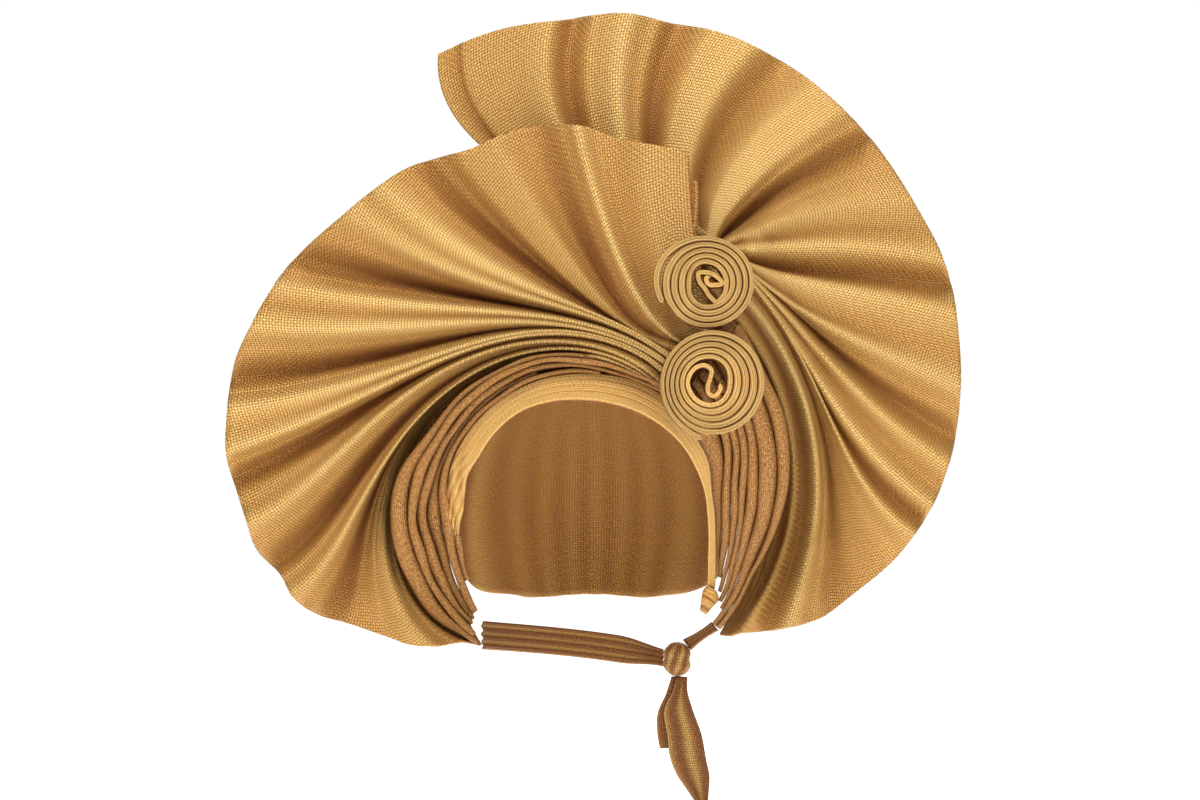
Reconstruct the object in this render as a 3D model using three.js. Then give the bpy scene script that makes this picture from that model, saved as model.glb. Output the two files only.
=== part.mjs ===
// Tied head tie in stiff woven cloth: a cap, a flat front band, a collar of narrow pleats round the face
// opening, two wide fans, two rolled rosettes and a knot with two tails behind the neck.
// Millimetres, +Z up, -Y to the front, +X to the right as the head tie is seen. The origin is the top of the
// hollow for the head, where the head carries the cap.
import * as THREE from "three";

// Driving sizes, in millimetres
const headHalfWidth = 73;
const headHalfDepth = 100;
const headHalfHeight = 96;
const openingRadius = 73;
const openingDrop = 100.8;
const openingShift = -3;
const collarReach = 100;
const leftFanRadius = 236;
const rightFanRadius = 305;
const fanDepth = 90;
const leftFoldHeight = 12;
const rightFoldHeight = 10;
const fanCloth = 2;
const pleatCloth = 1;
const pleatDepth = 15;
const capCloth = 1.6;
const bandThickness = 3.4;
const bandSetBack = 6;
const bandSlope = 0.45;
const tuckStep = 1;
const clearance = 0.3;
const foldGap = 0.12;
const fanClearance = 4 * clearance;
const fanSpacing = 14;
const fanBack = 0.06;
const rootFold = 0.12;
const rimSwing = 0.8;
const panelColumns = 3;
const rosetteHeight = 18;
const upperRosetteRadius = 29.4;
const lowerRosetteRadius = 31.3;
const rosettePly = 3;
const rosetteGap = 0.7;
const rosetteSides = 12;
const tieCloth = 2;
const longTailLength = 82;
const longTailWidth = 21;
const shortTailLength = 44;
const shortTailWidth = 15;
const knotSize = 19;
const knotTall = 1.12;
const knotDeep = 0.86;
const knotWaist = 0.16;
const strapWidth = 17;
const hemWidth = 11;
const hemTuck = 3;
const neckHalfWidth = 66;
const neckHalfDepth = 62;
const napeDrop = 172;
const napeOut = 3.5;
const knotDrop = 188;
const sideRadius = 1.38;
const tailLean = -0.04;
const eyeDistance = 1500;
const eyeShift = 6;
const eyeDrop = 28.8;

// Driving angles, in degrees: the straps' ends and the knot behind the neck
const napeFrom = 20;
const knotTurn = 144;
const sideFrom = -39.4;

const GOLD = { color: 0xc08a3e, roughness: 0.45, metalness: 0.35 };
const BRIGHT_GOLD = { color: 0xd8a94e, roughness: 0.4, metalness: 0.35 };
const DEEP_GOLD = { color: 0x9a6426, roughness: 0.55, metalness: 0.3 };

const radians = THREE.MathUtils.degToRad;
const mix = THREE.MathUtils.lerp;

// The true place of a point that shows at an angle (degrees, 0 to the right, 90 up) and a radius about the
// middle of the face opening, seen from an eye in front of it, and that lies at a given depth.
function place(angle, radius, depth) {
  const nearness = (eyeDistance + depth) / eyeDistance;
  const seenX = openingShift + radius * Math.cos(radians(angle));
  const seenZ = -openingDrop + radius * Math.sin(radians(angle));
  return new THREE.Vector3(
    eyeShift + (seenX - eyeShift) * nearness,
    depth,
    -eyeDrop + (seenZ + eyeDrop) * nearness,
  );
}

// The value of one column of a table at a place between its rows, on a smooth curve through the rows.
function along(rows, key, column, at) {
  const upward = rows[0][key] < rows[rows.length - 1][key];
  const sorted = upward ? rows : [...rows].reverse();
  const last = sorted.length - 1;
  if (at <= sorted[0][key]) return sorted[0][column];
  if (at >= sorted[last][key]) return sorted[last][column];
  let i = 0;
  while (sorted[i + 1][key] < at) i += 1;
  const slope = (j) => {
    const a = sorted[Math.max(j - 1, 0)];
    const b = sorted[Math.min(j + 1, last)];
    return (b[column] - a[column]) / (b[key] - a[key]);
  };
  const span = sorted[i + 1][key] - sorted[i][key];
  const t = (at - sorted[i][key]) / span;
  const rise = sorted[i + 1][column] - sorted[i][column];
  const lead = slope(i) * span;
  const trail = slope(i + 1) * span;
  const bend = 3 * rise - 2 * lead - trail;
  const twist = lead + trail - 2 * rise;
  return sorted[i][column] + t * lead + t ** 2 * bend + t ** 3 * twist;
}

// A closed solid from rings of points: each ring has the same count, and the first and last ring are capped.
function loft(rings, caps) {
  const count = rings[0].length;
  const positions = rings.flat().flatMap((p) => [p.x, p.y, p.z]);
  const index = [];
  for (let i = 0; i < rings.length - 1; i += 1)
    for (let j = 0; j < count; j += 1) {
      const a = i * count + j;
      const b = i * count + ((j + 1) % count);
      index.push(a, b, b + count, a, b + count, a + count);
    }
  const end = (rings.length - 1) * count;
  for (const [a, b, c] of caps) {
    index.push(a, c, b);
    index.push(end + a, end + b, end + c);
  }
  return meshFrom(positions, index);
}

// A geometry from positions and triangles, turned so that its faces point out.
function meshFrom(positions, index) {
  const geometry = new THREE.BufferGeometry();
  geometry.setAttribute("position", new THREE.Float32BufferAttribute(positions, 3));
  let volume = 0;
  const corner = (i) => new THREE.Vector3().fromArray(positions, 3 * i);
  for (let i = 0; i < index.length; i += 3)
    volume += corner(index[i]).dot(corner(index[i + 1]).cross(corner(index[i + 2])));
  if (volume < 0) index.reverse();
  geometry.setIndex(index);
  return geometry;
}

// A cloth wall from a grid of points: the grid moved half the thickness both ways along each point's own
// direction, and closed round its edge. A closed grid joins its last column to its first.
function sheet(grid, thickness, direction, closed = false) {
  const rows = grid.length;
  const columns = grid[0].length;
  const positions = [];
  for (const side of [-0.5, 0.5])
    for (let i = 0; i < rows; i += 1)
      for (let j = 0; j < columns; j += 1) {
        const p = grid[i][j].clone().addScaledVector(direction(i, j), side * thickness);
        positions.push(p.x, p.y, p.z);
      }
  const back = rows * columns;
  const index = [];
  const quad = (a, b, c, d) => index.push(a, b, c, a, c, d);
  const strips = closed ? columns : columns - 1;
  for (let i = 0; i < rows - 1; i += 1)
    for (let j = 0; j < strips; j += 1) {
      const k = (j + 1) % columns;
      const [a, b, c, d] = [i * columns + j, i * columns + k, (i + 1) * columns + k, (i + 1) * columns + j];
      quad(a, b, c, d);
      quad(back + a, back + d, back + c, back + b);
    }
  const edge = [];
  for (let j = 0; j < strips; j += 1) {
    const k = (j + 1) % columns;
    edge.push([k, j], [(rows - 1) * columns + j, (rows - 1) * columns + k]);
  }
  if (!closed)
    for (let i = 0; i < rows - 1; i += 1)
      edge.push(
        [i * columns, (i + 1) * columns],
        [(i + 1) * columns + columns - 1, i * columns + columns - 1],
      );
  for (const [a, b] of edge) quad(a, b, back + b, back + a);
  return meshFrom(positions, index);
}

const TOWARDS_BACK = new THREE.Vector3(0, 1, 0);

function part(name, geometry, finish) {
  const mesh = new THREE.Mesh(geometry, new THREE.MeshStandardMaterial(finish));
  mesh.name = name;
  return mesh;
}

// Depth of the pleats' front crests round the opening, as a share of collarReach before or behind the origin
const COLLAR_DEPTH = [
  { angle: -42, depth: 0.14 },
  { angle: -18, depth: -0.12 },
  { angle: 2, depth: -0.38 },
  { angle: 27, depth: -0.66 },
  { angle: 45, depth: -0.84 },
  { angle: 64, depth: -0.9 },
  { angle: 90, depth: -0.86 },
  { angle: 120, depth: -0.73 },
  { angle: 150, depth: -0.52 },
  { angle: 180, depth: -0.28 },
  { angle: 205, depth: -0.05 },
  { angle: 230, depth: 0.14 },
];
const collarDepth = (angle) => collarReach * along(COLLAR_DEPTH, "angle", "depth", angle);
const seamRadius = (seams, key, angle) => openingRadius * along(seams, "angle", key, angle);

// Front band: lower and upper edge as shares of openingRadius
const BAND_EDGES = [
  { angle: 181, lower: 1.045, upper: 1.085 },
  { angle: 175, lower: 1.004, upper: 1.1 },
  { angle: 168, lower: 1.01, upper: 1.145 },
  { angle: 160, lower: 1.033, upper: 1.18 },
  { angle: 150, lower: 1.015, upper: 1.195 },
  { angle: 135, lower: 1.03, upper: 1.203 },
  { angle: 120, lower: 1.036, upper: 1.207 },
  { angle: 105, lower: 1.01, upper: 1.21 },
  { angle: 90, lower: 0.985, upper: 1.204 },
  { angle: 64, lower: 0.985, upper: 1.212 },
  { angle: 50, lower: 0.998, upper: 1.19 },
  { angle: 38, lower: 1.008, upper: 1.135 },
  { angle: 27, lower: 1.01, upper: 1.12 },
  { angle: 12, lower: 1.015, upper: 1.06 },
  { angle: 2, lower: 1.014, upper: 1.06 },
  { angle: -8, lower: 1.032, upper: 1.076 },
  { angle: -18, lower: 1.07, upper: 1.122 },
  { angle: -28, lower: 1.145, upper: 1.2 },
];

// Seams between the left pleats, from the innermost outwards, as shares of openingRadius
const LEFT_SEAMS = [
  { angle: 230, s0: 1.24, s1: 1.26, s2: 1.27, s3: 1.285, s4: 1.295, s5: 1.31, s6: 1.352 },
  { angle: 222, s0: 1.12, s1: 1.165, s2: 1.211, s3: 1.244, s4: 1.28, s5: 1.338, s6: 1.4 },
  { angle: 215, s0: 1.085, s1: 1.126, s2: 1.192, s3: 1.25, s4: 1.297, s5: 1.362, s6: 1.464 },
  { angle: 200, s0: 1.052, s1: 1.1, s2: 1.166, s3: 1.237, s4: 1.336, s5: 1.397, s6: 1.538 },
  { angle: 190, s0: 1.024, s1: 1.086, s2: 1.163, s3: 1.251, s4: 1.34, s5: 1.425, s6: 1.579 },
  { angle: 180, s0: 1.045, s1: 1.1, s2: 1.178, s3: 1.305, s4: 1.384, s5: 1.452, s6: 1.599 },
  { angle: 165, s0: 1.16, s1: 1.2, s2: 1.24, s3: 1.284, s4: 1.368, s5: 1.459, s6: 1.578 },
  { angle: 150, s0: 1.17, s1: 1.207, s2: 1.248, s3: 1.288, s4: 1.347, s5: 1.411, s6: 1.473 },
  { angle: 135, s0: 1.17, s1: 1.211, s2: 1.249, s3: 1.287, s4: 1.349, s5: 1.415, s6: 1.46 },
  { angle: 120, s0: 1.17, s1: 1.215, s2: 1.253, s3: 1.288, s4: 1.342, s5: 1.394, s6: 1.433 },
  { angle: 105, s0: 1.17, s1: 1.218, s2: 1.256, s3: 1.29, s4: 1.335, s5: 1.372, s6: 1.408 },
  { angle: 90, s0: 1.17, s1: 1.212, s2: 1.246, s3: 1.247, s4: 1.281, s5: 1.314, s6: 1.316 },
  { angle: 75, s0: 1.17, s1: 1.2, s2: 1.216, s3: 1.217, s4: 1.25, s5: 1.283, s6: 1.284 },
  { angle: 64, s0: 1.17, s1: 1.2, s2: 1.22, s3: 1.221, s4: 1.255, s5: 1.288, s6: 1.289 },
];
const LEFT_PLEATS = [
  { inner: "s0", outer: "s1", from: 187, to: 207, setBack: 0.1 },
  { inner: "s1", outer: "s2", from: 84, to: 220, setBack: 0.06 },
  { inner: "s2", outer: "s3", from: 108, to: 221.5, setBack: 0.1 },
  { inner: "s3", outer: "s4", from: 57, to: 222.5, setBack: 0.04 },
  { inner: "s4", outer: "s5", from: 57, to: 226, setBack: 0 },
  { inner: "s5", outer: "s6", from: 112, to: 229, setBack: 0.02 },
];

// Seams between the right pleats, from the innermost outwards, as shares of openingRadius
const RIGHT_SEAMS = [
  { angle: 52, s0: 1.24, s1: 1.42, s2: 1.51, s3: 1.6, s4: 1.69, s5: 1.79, s6: 1.93, s7: 2.06 },
  { angle: 38, s0: 1.15, s1: 1.342, s2: 1.425, s3: 1.507, s4: 1.575, s5: 1.658, s6: 1.8, s7: 1.904 },
  { angle: 27, s0: 1.127, s1: 1.279, s2: 1.352, s3: 1.425, s4: 1.493, s5: 1.571, s6: 1.729, s7: 1.841 },
  { angle: 12, s0: 1.066, s1: 1.149, s2: 1.229, s3: 1.29, s4: 1.358, s5: 1.459, s6: 1.616, s7: 1.718 },
  { angle: 2, s0: 1.066, s1: 1.122, s2: 1.2, s3: 1.262, s4: 1.312, s5: 1.403, s6: 1.544, s7: 1.622 },
  { angle: -8, s0: 1.082, s1: 1.127, s2: 1.195, s3: 1.245, s4: 1.29, s5: 1.358, s6: 1.475, s7: 1.526 },
  { angle: -18, s0: 1.127, s1: 1.162, s2: 1.205, s3: 1.245, s4: 1.285, s5: 1.341, s6: 1.425, s7: 1.459 },
  { angle: -28, s0: 1.206, s1: 1.215, s2: 1.24, s3: 1.274, s4: 1.312, s5: 1.347, s6: 1.404, s7: 1.44 },
  { angle: -40, s0: 1.24, s1: 1.26, s2: 1.28, s3: 1.3, s4: 1.32, s5: 1.34, s6: 1.385, s7: 1.43 },
];
const RIGHT_PLEATS = [
  { inner: "s0", outer: "s1", from: -17, to: 52, setBack: 0.12 },
  { inner: "s1", outer: "s2", from: -23, to: 52, setBack: 0.1 },
  { inner: "s2", outer: "s3", from: -28, to: 52, setBack: 0.08 },
  { inner: "s3", outer: "s4", from: -31, to: 52, setBack: 0.06 },
  { inner: "s4", outer: "s5", from: -33, to: 52, setBack: 0.04 },
  { inner: "s5", outer: "s6", from: -39, to: 52, setBack: 0.02 },
  { inner: "s6", outer: "s7", from: -39, to: 52, setBack: 0 },
];

// The angles at which pleats are drawn. Neighbouring pleats share them, so their straight parts run level.
const evenly = (from, to, count) => Array.from({ length: count }, (_, i) => mix(from, to, i / (count - 1)));
const LEFT_STATIONS = evenly(57, 229, 20);
const RIGHT_STATIONS = evenly(-40, 52, 12);

// One pleat: a strip folded to the front, its two plies running back side by side, carried round the opening
// between its two seams. An end between two stations lies on the straight stretch between them.
function pleat(row, seams, stations) {
  const ringAt = (angle) => {
    const inner = seamRadius(seams, row.inner, angle) + clearance / 2;
    const outer = seamRadius(seams, row.outer, angle) - clearance / 2;
    return foldRing(angle, inner, outer, collarDepth(angle) + row.setBack * collarReach);
  };
  const endAt = (angle) => {
    const next = Math.max(stations.findIndex((station) => station >= angle), 1);
    const [low, high] = [stations[next - 1], stations[next]];
    const far = ringAt(high);
    return ringAt(low).map((p, i) => p.lerp(far[i], (angle - low) / (high - low)));
  };
  const within = stations.filter((angle) => angle > row.from && angle < row.to);
  return loft([endAt(row.from), ...within.map(ringAt), endAt(row.to)], FOLD_CAPS);
}

// The outline of a pleat across its run: out along the inner ply, round the front fold and back along the
// outer ply, with the space between the plies open to the back.
const FOLD_SHOULDER = { across: 0.55, back: 0.17 };
function foldRing(angle, inner, outer, front) {
  const middle = (inner + outer) / 2;
  const half = (outer - inner) / 2;
  const wall = Math.min(pleatCloth, half - foldGap / 2);
  const hollow = half - wall;
  const round = Math.min(half, pleatDepth / 3);
  const back = front + pleatDepth;
  const at = (across, depth) => place(angle, middle + across, depth);
  return [
    at(-half, back),
    at(-half, front + round),
    at(-FOLD_SHOULDER.across * half, front + FOLD_SHOULDER.back * round),
    at(FOLD_SHOULDER.across * half, front + FOLD_SHOULDER.back * round),
    at(half, front + round),
    at(half, back),
    at(hollow, back),
    at(hollow, front + round + wall),
    at(-hollow, front + round + wall),
    at(-hollow, back),
  ];
}
const FOLD_CAPS = [
  [0, 1, 9],
  [1, 8, 9],
  [1, 2, 8],
  [2, 3, 8],
  [3, 7, 8],
  [3, 4, 7],
  [4, 6, 7],
  [4, 5, 6],
];

function pleats(prefix, rows, seams, stations) {
  return rows.map((row, i) => part(`${prefix}_pleat_${i + 1}`, pleat(row, seams, stations), GOLD));
}

// The front band: flat tucks laid like shingles on the forehead, each standing a step above the next one out.
function frontBand() {
  const tucks = 5;
  const stations = 25;
  const rings = [];
  const first = BAND_EDGES[0].angle;
  const last = BAND_EDGES[BAND_EDGES.length - 1].angle;
  for (let i = 0; i < stations; i += 1) {
    const angle = mix(first, last, i / (stations - 1));
    const lower = openingRadius * along(BAND_EDGES, "angle", "lower", angle);
    const upper = openingRadius * along(BAND_EDGES, "angle", "upper", angle) - clearance;
    const step = Math.min(tuckStep, (upper - lower) / tucks / 2);
    const slope = bandSlope * (upper - lower);
    const face = collarDepth(angle) + bandSetBack;
    const ring = [];
    for (let k = 0; k < tucks; k += 1) {
      ring.push(place(angle, mix(lower, upper, k / tucks), face + step + (slope * k) / tucks));
      ring.push(place(angle, mix(lower, upper, (k + 0.25) / tucks), face + (slope * (k + 0.25)) / tucks));
    }
    ring.push(place(angle, upper, face + step + slope));
    ring.push(place(angle, upper, face + bandThickness + slope));
    ring.push(place(angle, lower, face + bandThickness));
    rings.push(ring);
  }
  const count = rings[0].length;
  const caps = [];
  for (let k = 0; k < count - 3; k += 1) caps.push([k, k + 1, count - 1]);
  caps.push([count - 3, count - 2, count - 1]);
  return part("front_band", loft(rings, caps), BRIGHT_GOLD);
}

// Left fan: reach of the rim as shares of leftFanRadius, and its depth as shares of fanDepth
const LEFT_RIM = [
  { angle: 74.6, reach: 0.968, depth: -0.76 },
  { angle: 82, reach: 0.97, depth: -0.72 },
  { angle: 86, reach: 0.977, depth: -0.7 },
  { angle: 91, reach: 1.002, depth: -0.69 },
  { angle: 97, reach: 1.008, depth: -0.67 },
  { angle: 107, reach: 0.989, depth: -0.63 },
  { angle: 117, reach: 1.002, depth: -0.6 },
  { angle: 130, reach: 0.992, depth: -0.55 },
  { angle: 147, reach: 0.987, depth: -0.48 },
  { angle: 155, reach: 0.978, depth: -0.43 },
  { angle: 165, reach: 0.945, depth: -0.38 },
  { angle: 175, reach: 0.888, depth: -0.31 },
  { angle: 182, reach: 0.852, depth: -0.25 },
  { angle: 188, reach: 0.813, depth: -0.21 },
  { angle: 195, reach: 0.764, depth: -0.14 },
  { angle: 203, reach: 0.667, depth: -0.06 },
  { angle: 210, reach: 0.59, depth: 0 },
  { angle: 217, reach: 0.53, depth: 0.04 },
  { angle: 222, reach: 0.47, depth: 0.08 },
  { angle: 226, reach: 0.431, depth: 0.14 },
];

// Left fan: one row for each fold line, from the right end round to the jaw. Rim is the angle at which the
// line meets the rim, gather how far outside the pleats it starts, as a share of openingRadius, curl how late
// it turns outwards, and height its rise to the front (negative: to the back) as a share of leftFoldHeight.
const LEFT_FOLDS = [
  { name: "right end", rim: 74.6, gather: 0.46, curl: 0.9, height: 0.1 },
  { name: "end panel", rim: 80, gather: 0.4, curl: 1, height: 0.3 },
  { name: "crease", rim: 85.8, gather: 0.35, curl: 1.2, height: -0.2 },
  { name: "thin ridge", rim: 91, gather: 0.3, curl: 1.35, height: 0.6 },
  { name: "orange valley", rim: 96, gather: 0.25, curl: 1.4, height: -0.9 },
  { name: "woven ridge", rim: 104, gather: 0.18, curl: 1.45, height: 0.7 },
  { name: "notch valley", rim: 114.3, gather: 0.12, curl: 1.5, height: -1 },
  { name: "bright ridge", rim: 124, gather: 0.1, curl: 1.55, height: 0.9 },
  { name: "brown valley", rim: 138, gather: 0.085, curl: 1.65, height: -1 },
  { name: "double ridge", rim: 147, gather: 0.07, curl: 1.8, height: 0.9 },
  { name: "left valley", rim: 158, gather: 0.055, curl: 1.85, height: -1 },
  { name: "pale ridge", rim: 165.5, gather: 0.045, curl: 2, height: 0.9 },
  { name: "side valley", rim: 172.8, gather: 0.038, curl: 2.1, height: -1 },
  { name: "outer pleat", rim: 180.5, gather: 0.03, curl: 2.2, height: 0.8 },
  { name: "low valley", rim: 188, gather: 0.024, curl: 2.4, height: -0.9 },
  { name: "second pleat", rim: 194, gather: 0.018, curl: 2.6, height: 0.7 },
  { name: "dark valley", rim: 199.5, gather: 0.012, curl: 2.8, height: -0.9 },
  { name: "low panel", rim: 210, gather: 0.008, curl: 2.2, height: 0.2 },
  { name: "last ridge", rim: 219, gather: 0.004, curl: 1.6, height: 0.4 },
  { name: "inner edge", rim: 226, gather: 0, curl: 1.2, height: -0.4 },
];

// Right fan: reach of the rim as shares of rightFanRadius, and its depth as shares of fanDepth
const RIGHT_RIM = [
  { angle: 107.4, reach: 0.96, depth: -0.26 },
  { angle: 100, reach: 0.978, depth: -0.27 },
  { angle: 92, reach: 0.985, depth: -0.27 },
  { angle: 85, reach: 1, depth: -0.28 },
  { angle: 75, reach: 0.995, depth: -0.29 },
  { angle: 65, reach: 0.977, depth: -0.3 },
  { angle: 55, reach: 0.945, depth: -0.3 },
  { angle: 45, reach: 0.904, depth: -0.3 },
  { angle: 35, reach: 0.867, depth: -0.29 },
  { angle: 25, reach: 0.814, depth: -0.27 },
  { angle: 14, reach: 0.754, depth: -0.24 },
  { angle: 4, reach: 0.695, depth: -0.2 },
  { angle: -6, reach: 0.623, depth: -0.15 },
  { angle: -15, reach: 0.552, depth: -0.09 },
  { angle: -23, reach: 0.499, depth: -0.03 },
  { angle: -30, reach: 0.433, depth: 0.04 },
  { angle: -36, reach: 0.378, depth: 0.09 },
  { angle: -39, reach: 0.3455, depth: 0.14 },
];

// Right fan: fold lines as for the left fan, each also with the angle at which it leaves the gather
const RIGHT_FOLDS = [
  { name: "left end", rim: 107.4, root: 82, gather: -0.27, curl: 1, height: 0.1 },
  { name: "first ridge", rim: 94.5, root: 79.5, gather: -0.26, curl: 1, height: 0.5 },
  { name: "first valley", rim: 91.3, root: 78.5, gather: -0.24, curl: 1, height: -0.7 },
  { name: "top ridge", rim: 85, root: 77, gather: -0.22, curl: 1, height: 0.8 },
  { name: "top valley", rim: 79, root: 75, gather: -0.2, curl: 1, height: -0.9 },
  { name: "pale ridge", rim: 71, root: 72, gather: -0.13, curl: 1, height: 0.9 },
  { name: "orange valley", rim: 66.2, root: 69, gather: -0.04, curl: 1.05, height: -0.8 },
  { name: "bright ridge", rim: 59.5, root: 65, gather: 0.12, curl: 1.1, height: 0.9 },
  { name: "deep valley", rim: 53, root: 62.5, gather: 0.2, curl: 1.1, height: -1 },
  { name: "broad ridge", rim: 41, root: 59, gather: 0.24, curl: 1.1, height: 0.7 },
  { name: "brown valley", rim: 33, root: 57.5, gather: 0.225, curl: 1.1, height: -0.8 },
  { name: "side ridge", rim: 25, root: 56, gather: 0.2, curl: 1.15, height: 0.8 },
  { name: "side valley", rim: 13, root: 55, gather: 0.165, curl: 1.15, height: -0.8 },
  { name: "long ridge", rim: 6, root: 54, gather: 0.14, curl: 1.15, height: 0.6 },
  { name: "long valley", rim: 1, root: 53.5, gather: 0.12, curl: 1.15, height: -0.6 },
  { name: "low ridge", rim: -4, root: 53, gather: 0.1, curl: 1.15, height: 0.7 },
  { name: "orange panel", rim: -21, root: 52.5, gather: 0.08, curl: 1, height: -0.7 },
  { name: "gleaming ridge", rim: -27.5, root: 52, gather: 0.06, curl: 0.8, height: 0.9 },
  { name: "under valley", rim: -32, root: 52, gather: 0.04, curl: 0.8, height: -0.5 },
  { name: "end panel", rim: -36.2, root: 52, gather: 0.02, curl: 0.8, height: 0.2 },
  { name: "inner edge", rim: -39, root: 52, gather: 0, curl: 0.8, height: -0.3 },
];

// How far round its fold line each row of a fan lies: even steps, with one more close to the rim
const LEFT_ROWS = [0, 0.1, 0.2, 0.3, 0.4, 0.5, 0.6, 0.7, 0.8, 0.88, 0.95, 1];
const RIGHT_ROWS = [0, 0.12, 0.24, 0.36, 0.48, 0.6, 0.72, 0.83, 0.93, 1];

// The place on a fold line at a share of its turn from the gather to the rim
function fanPoint(shape, line, turn) {
  const { rim, radius, foldHeight, base, depthAt } = shape;
  const way = 1 - Math.sqrt(1 - turn);
  const angle = mix(line.root, line.rim, turn);
  const gather = line.gather * openingRadius + fanClearance;
  const reach = radius * along(rim, "angle", "reach", line.rim);
  const outward = gather + (reach - base(line.rim) - gather) * way ** line.curl;
  const growth = mix(rootFold, 1, way * way * (3 - 2 * way));
  const rest = depthAt(angle, line, way ** rimSwing);
  return place(angle, base(angle) + outward, rest - line.height * foldHeight * growth);
}

// A fan: a sheet whose fold lines leave the gather along the pleats and turn outwards to the rim. Between two
// fold lines the cloth swings from ridge to valley, and the swing grows from the gather to the rim.
function fan(name, shape) {
  const { folds, rows, start } = shape;
  const lines = [];
  for (let k = 0; k < folds.length - 1; k += 1)
    for (let c = 0; c < panelColumns; c += 1) {
      const t = c / panelColumns;
      const swing = (1 - Math.cos(Math.PI * t)) / 2;
      const pick = (key) => mix(folds[k][key] ?? start, folds[k + 1][key] ?? start, t);
      lines.push({
        rim: pick("rim"),
        root: pick("root"),
        gather: pick("gather"),
        curl: pick("curl"),
        height: mix(folds[k].height, folds[k + 1].height, swing),
      });
    }
  lines.push({ root: start, ...folds[folds.length - 1] });
  const grid = rows.map((turn) => lines.map((line) => fanPoint(shape, line, turn)));
  return part(name, sheet(grid, fanCloth, () => TOWARDS_BACK), GOLD);
}

const rimDepth = (rim, angle) => fanDepth * along(rim, "angle", "depth", angle);
const leftRoot = (angle) => collarDepth(angle) + fanBack * collarReach;
const LEFT_FAN = {
  folds: LEFT_FOLDS,
  rim: LEFT_RIM,
  rows: LEFT_ROWS,
  radius: leftFanRadius,
  foldHeight: leftFoldHeight,
  start: LEFT_STATIONS[0],
  base: (angle) => seamRadius(LEFT_SEAMS, "s6", angle),
  depthAt: (angle, line, way) => mix(leftRoot(angle), rimDepth(LEFT_RIM, line.rim), way),
};

// The upper folds of the right fan start further back, behind the left fan.
const behindLeftFan = (root) => fanSpacing * THREE.MathUtils.smoothstep(root, 56, 72);
const rightTop = RIGHT_STATIONS[RIGHT_STATIONS.length - 1];
const rightRoot = (angle, line) =>
  collarDepth(Math.min(angle, rightTop)) + fanBack * collarReach + behindLeftFan(line.root);
const RIGHT_FAN = {
  folds: RIGHT_FOLDS,
  rim: RIGHT_RIM,
  rows: RIGHT_ROWS,
  radius: rightFanRadius,
  foldHeight: rightFoldHeight,
  start: rightTop,
  base: (angle) => seamRadius(RIGHT_SEAMS, "s7", Math.min(angle, rightTop)),
  depthAt: (angle, line, way) => mix(rightRoot(angle, line), rimDepth(RIGHT_RIM, line.rim), way),
};

// Hem of the cap at each turn from the back round by the right. Fall is how far down the dome it lies, in
// degrees from the crown. Joined is how far it is drawn out from there to the back of the collar, at an angle
// round the opening, a reach as a share of openingRadius and a set-back as a share of collarReach.
const CAP_HEM = [
  { turn: 0, fall: 125, joined: 0, angle: -32, reach: 1.2, setBack: 0.12 },
  { turn: 48, fall: 124, joined: 0, angle: -32, reach: 1.2, setBack: 0.12 },
  { turn: 74, fall: 116, joined: 1, angle: -22, reach: 1.17, setBack: 0.12 },
  { turn: 98, fall: 90, joined: 1, angle: 2, reach: 1.12, setBack: 0.12 },
  { turn: 121, fall: 58, joined: 1, angle: 32, reach: 1.25, setBack: 0.12 },
  { turn: 152, fall: 37, joined: 1, angle: 62, reach: 1.25, setBack: 0.1 },
  { turn: 183, fall: 31, joined: 1, angle: 90, reach: 1.2, setBack: 0.07 },
  { turn: 226, fall: 47, joined: 1, angle: 120, reach: 1.2, setBack: 0.06 },
  { turn: 253, fall: 75, joined: 1, angle: 150, reach: 1.2, setBack: 0.07 },
  { turn: 270, fall: 98, joined: 1, angle: 180, reach: 1.12, setBack: 0.1 },
  { turn: 286, fall: 116, joined: 1, angle: 203, reach: 1.1, setBack: 0.12 },
  { turn: 312, fall: 124, joined: 0, angle: 215, reach: 1.1, setBack: 0.06 },
  { turn: 360, fall: 125, joined: 0, angle: 215, reach: 1.1, setBack: 0.06 },
];

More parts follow.
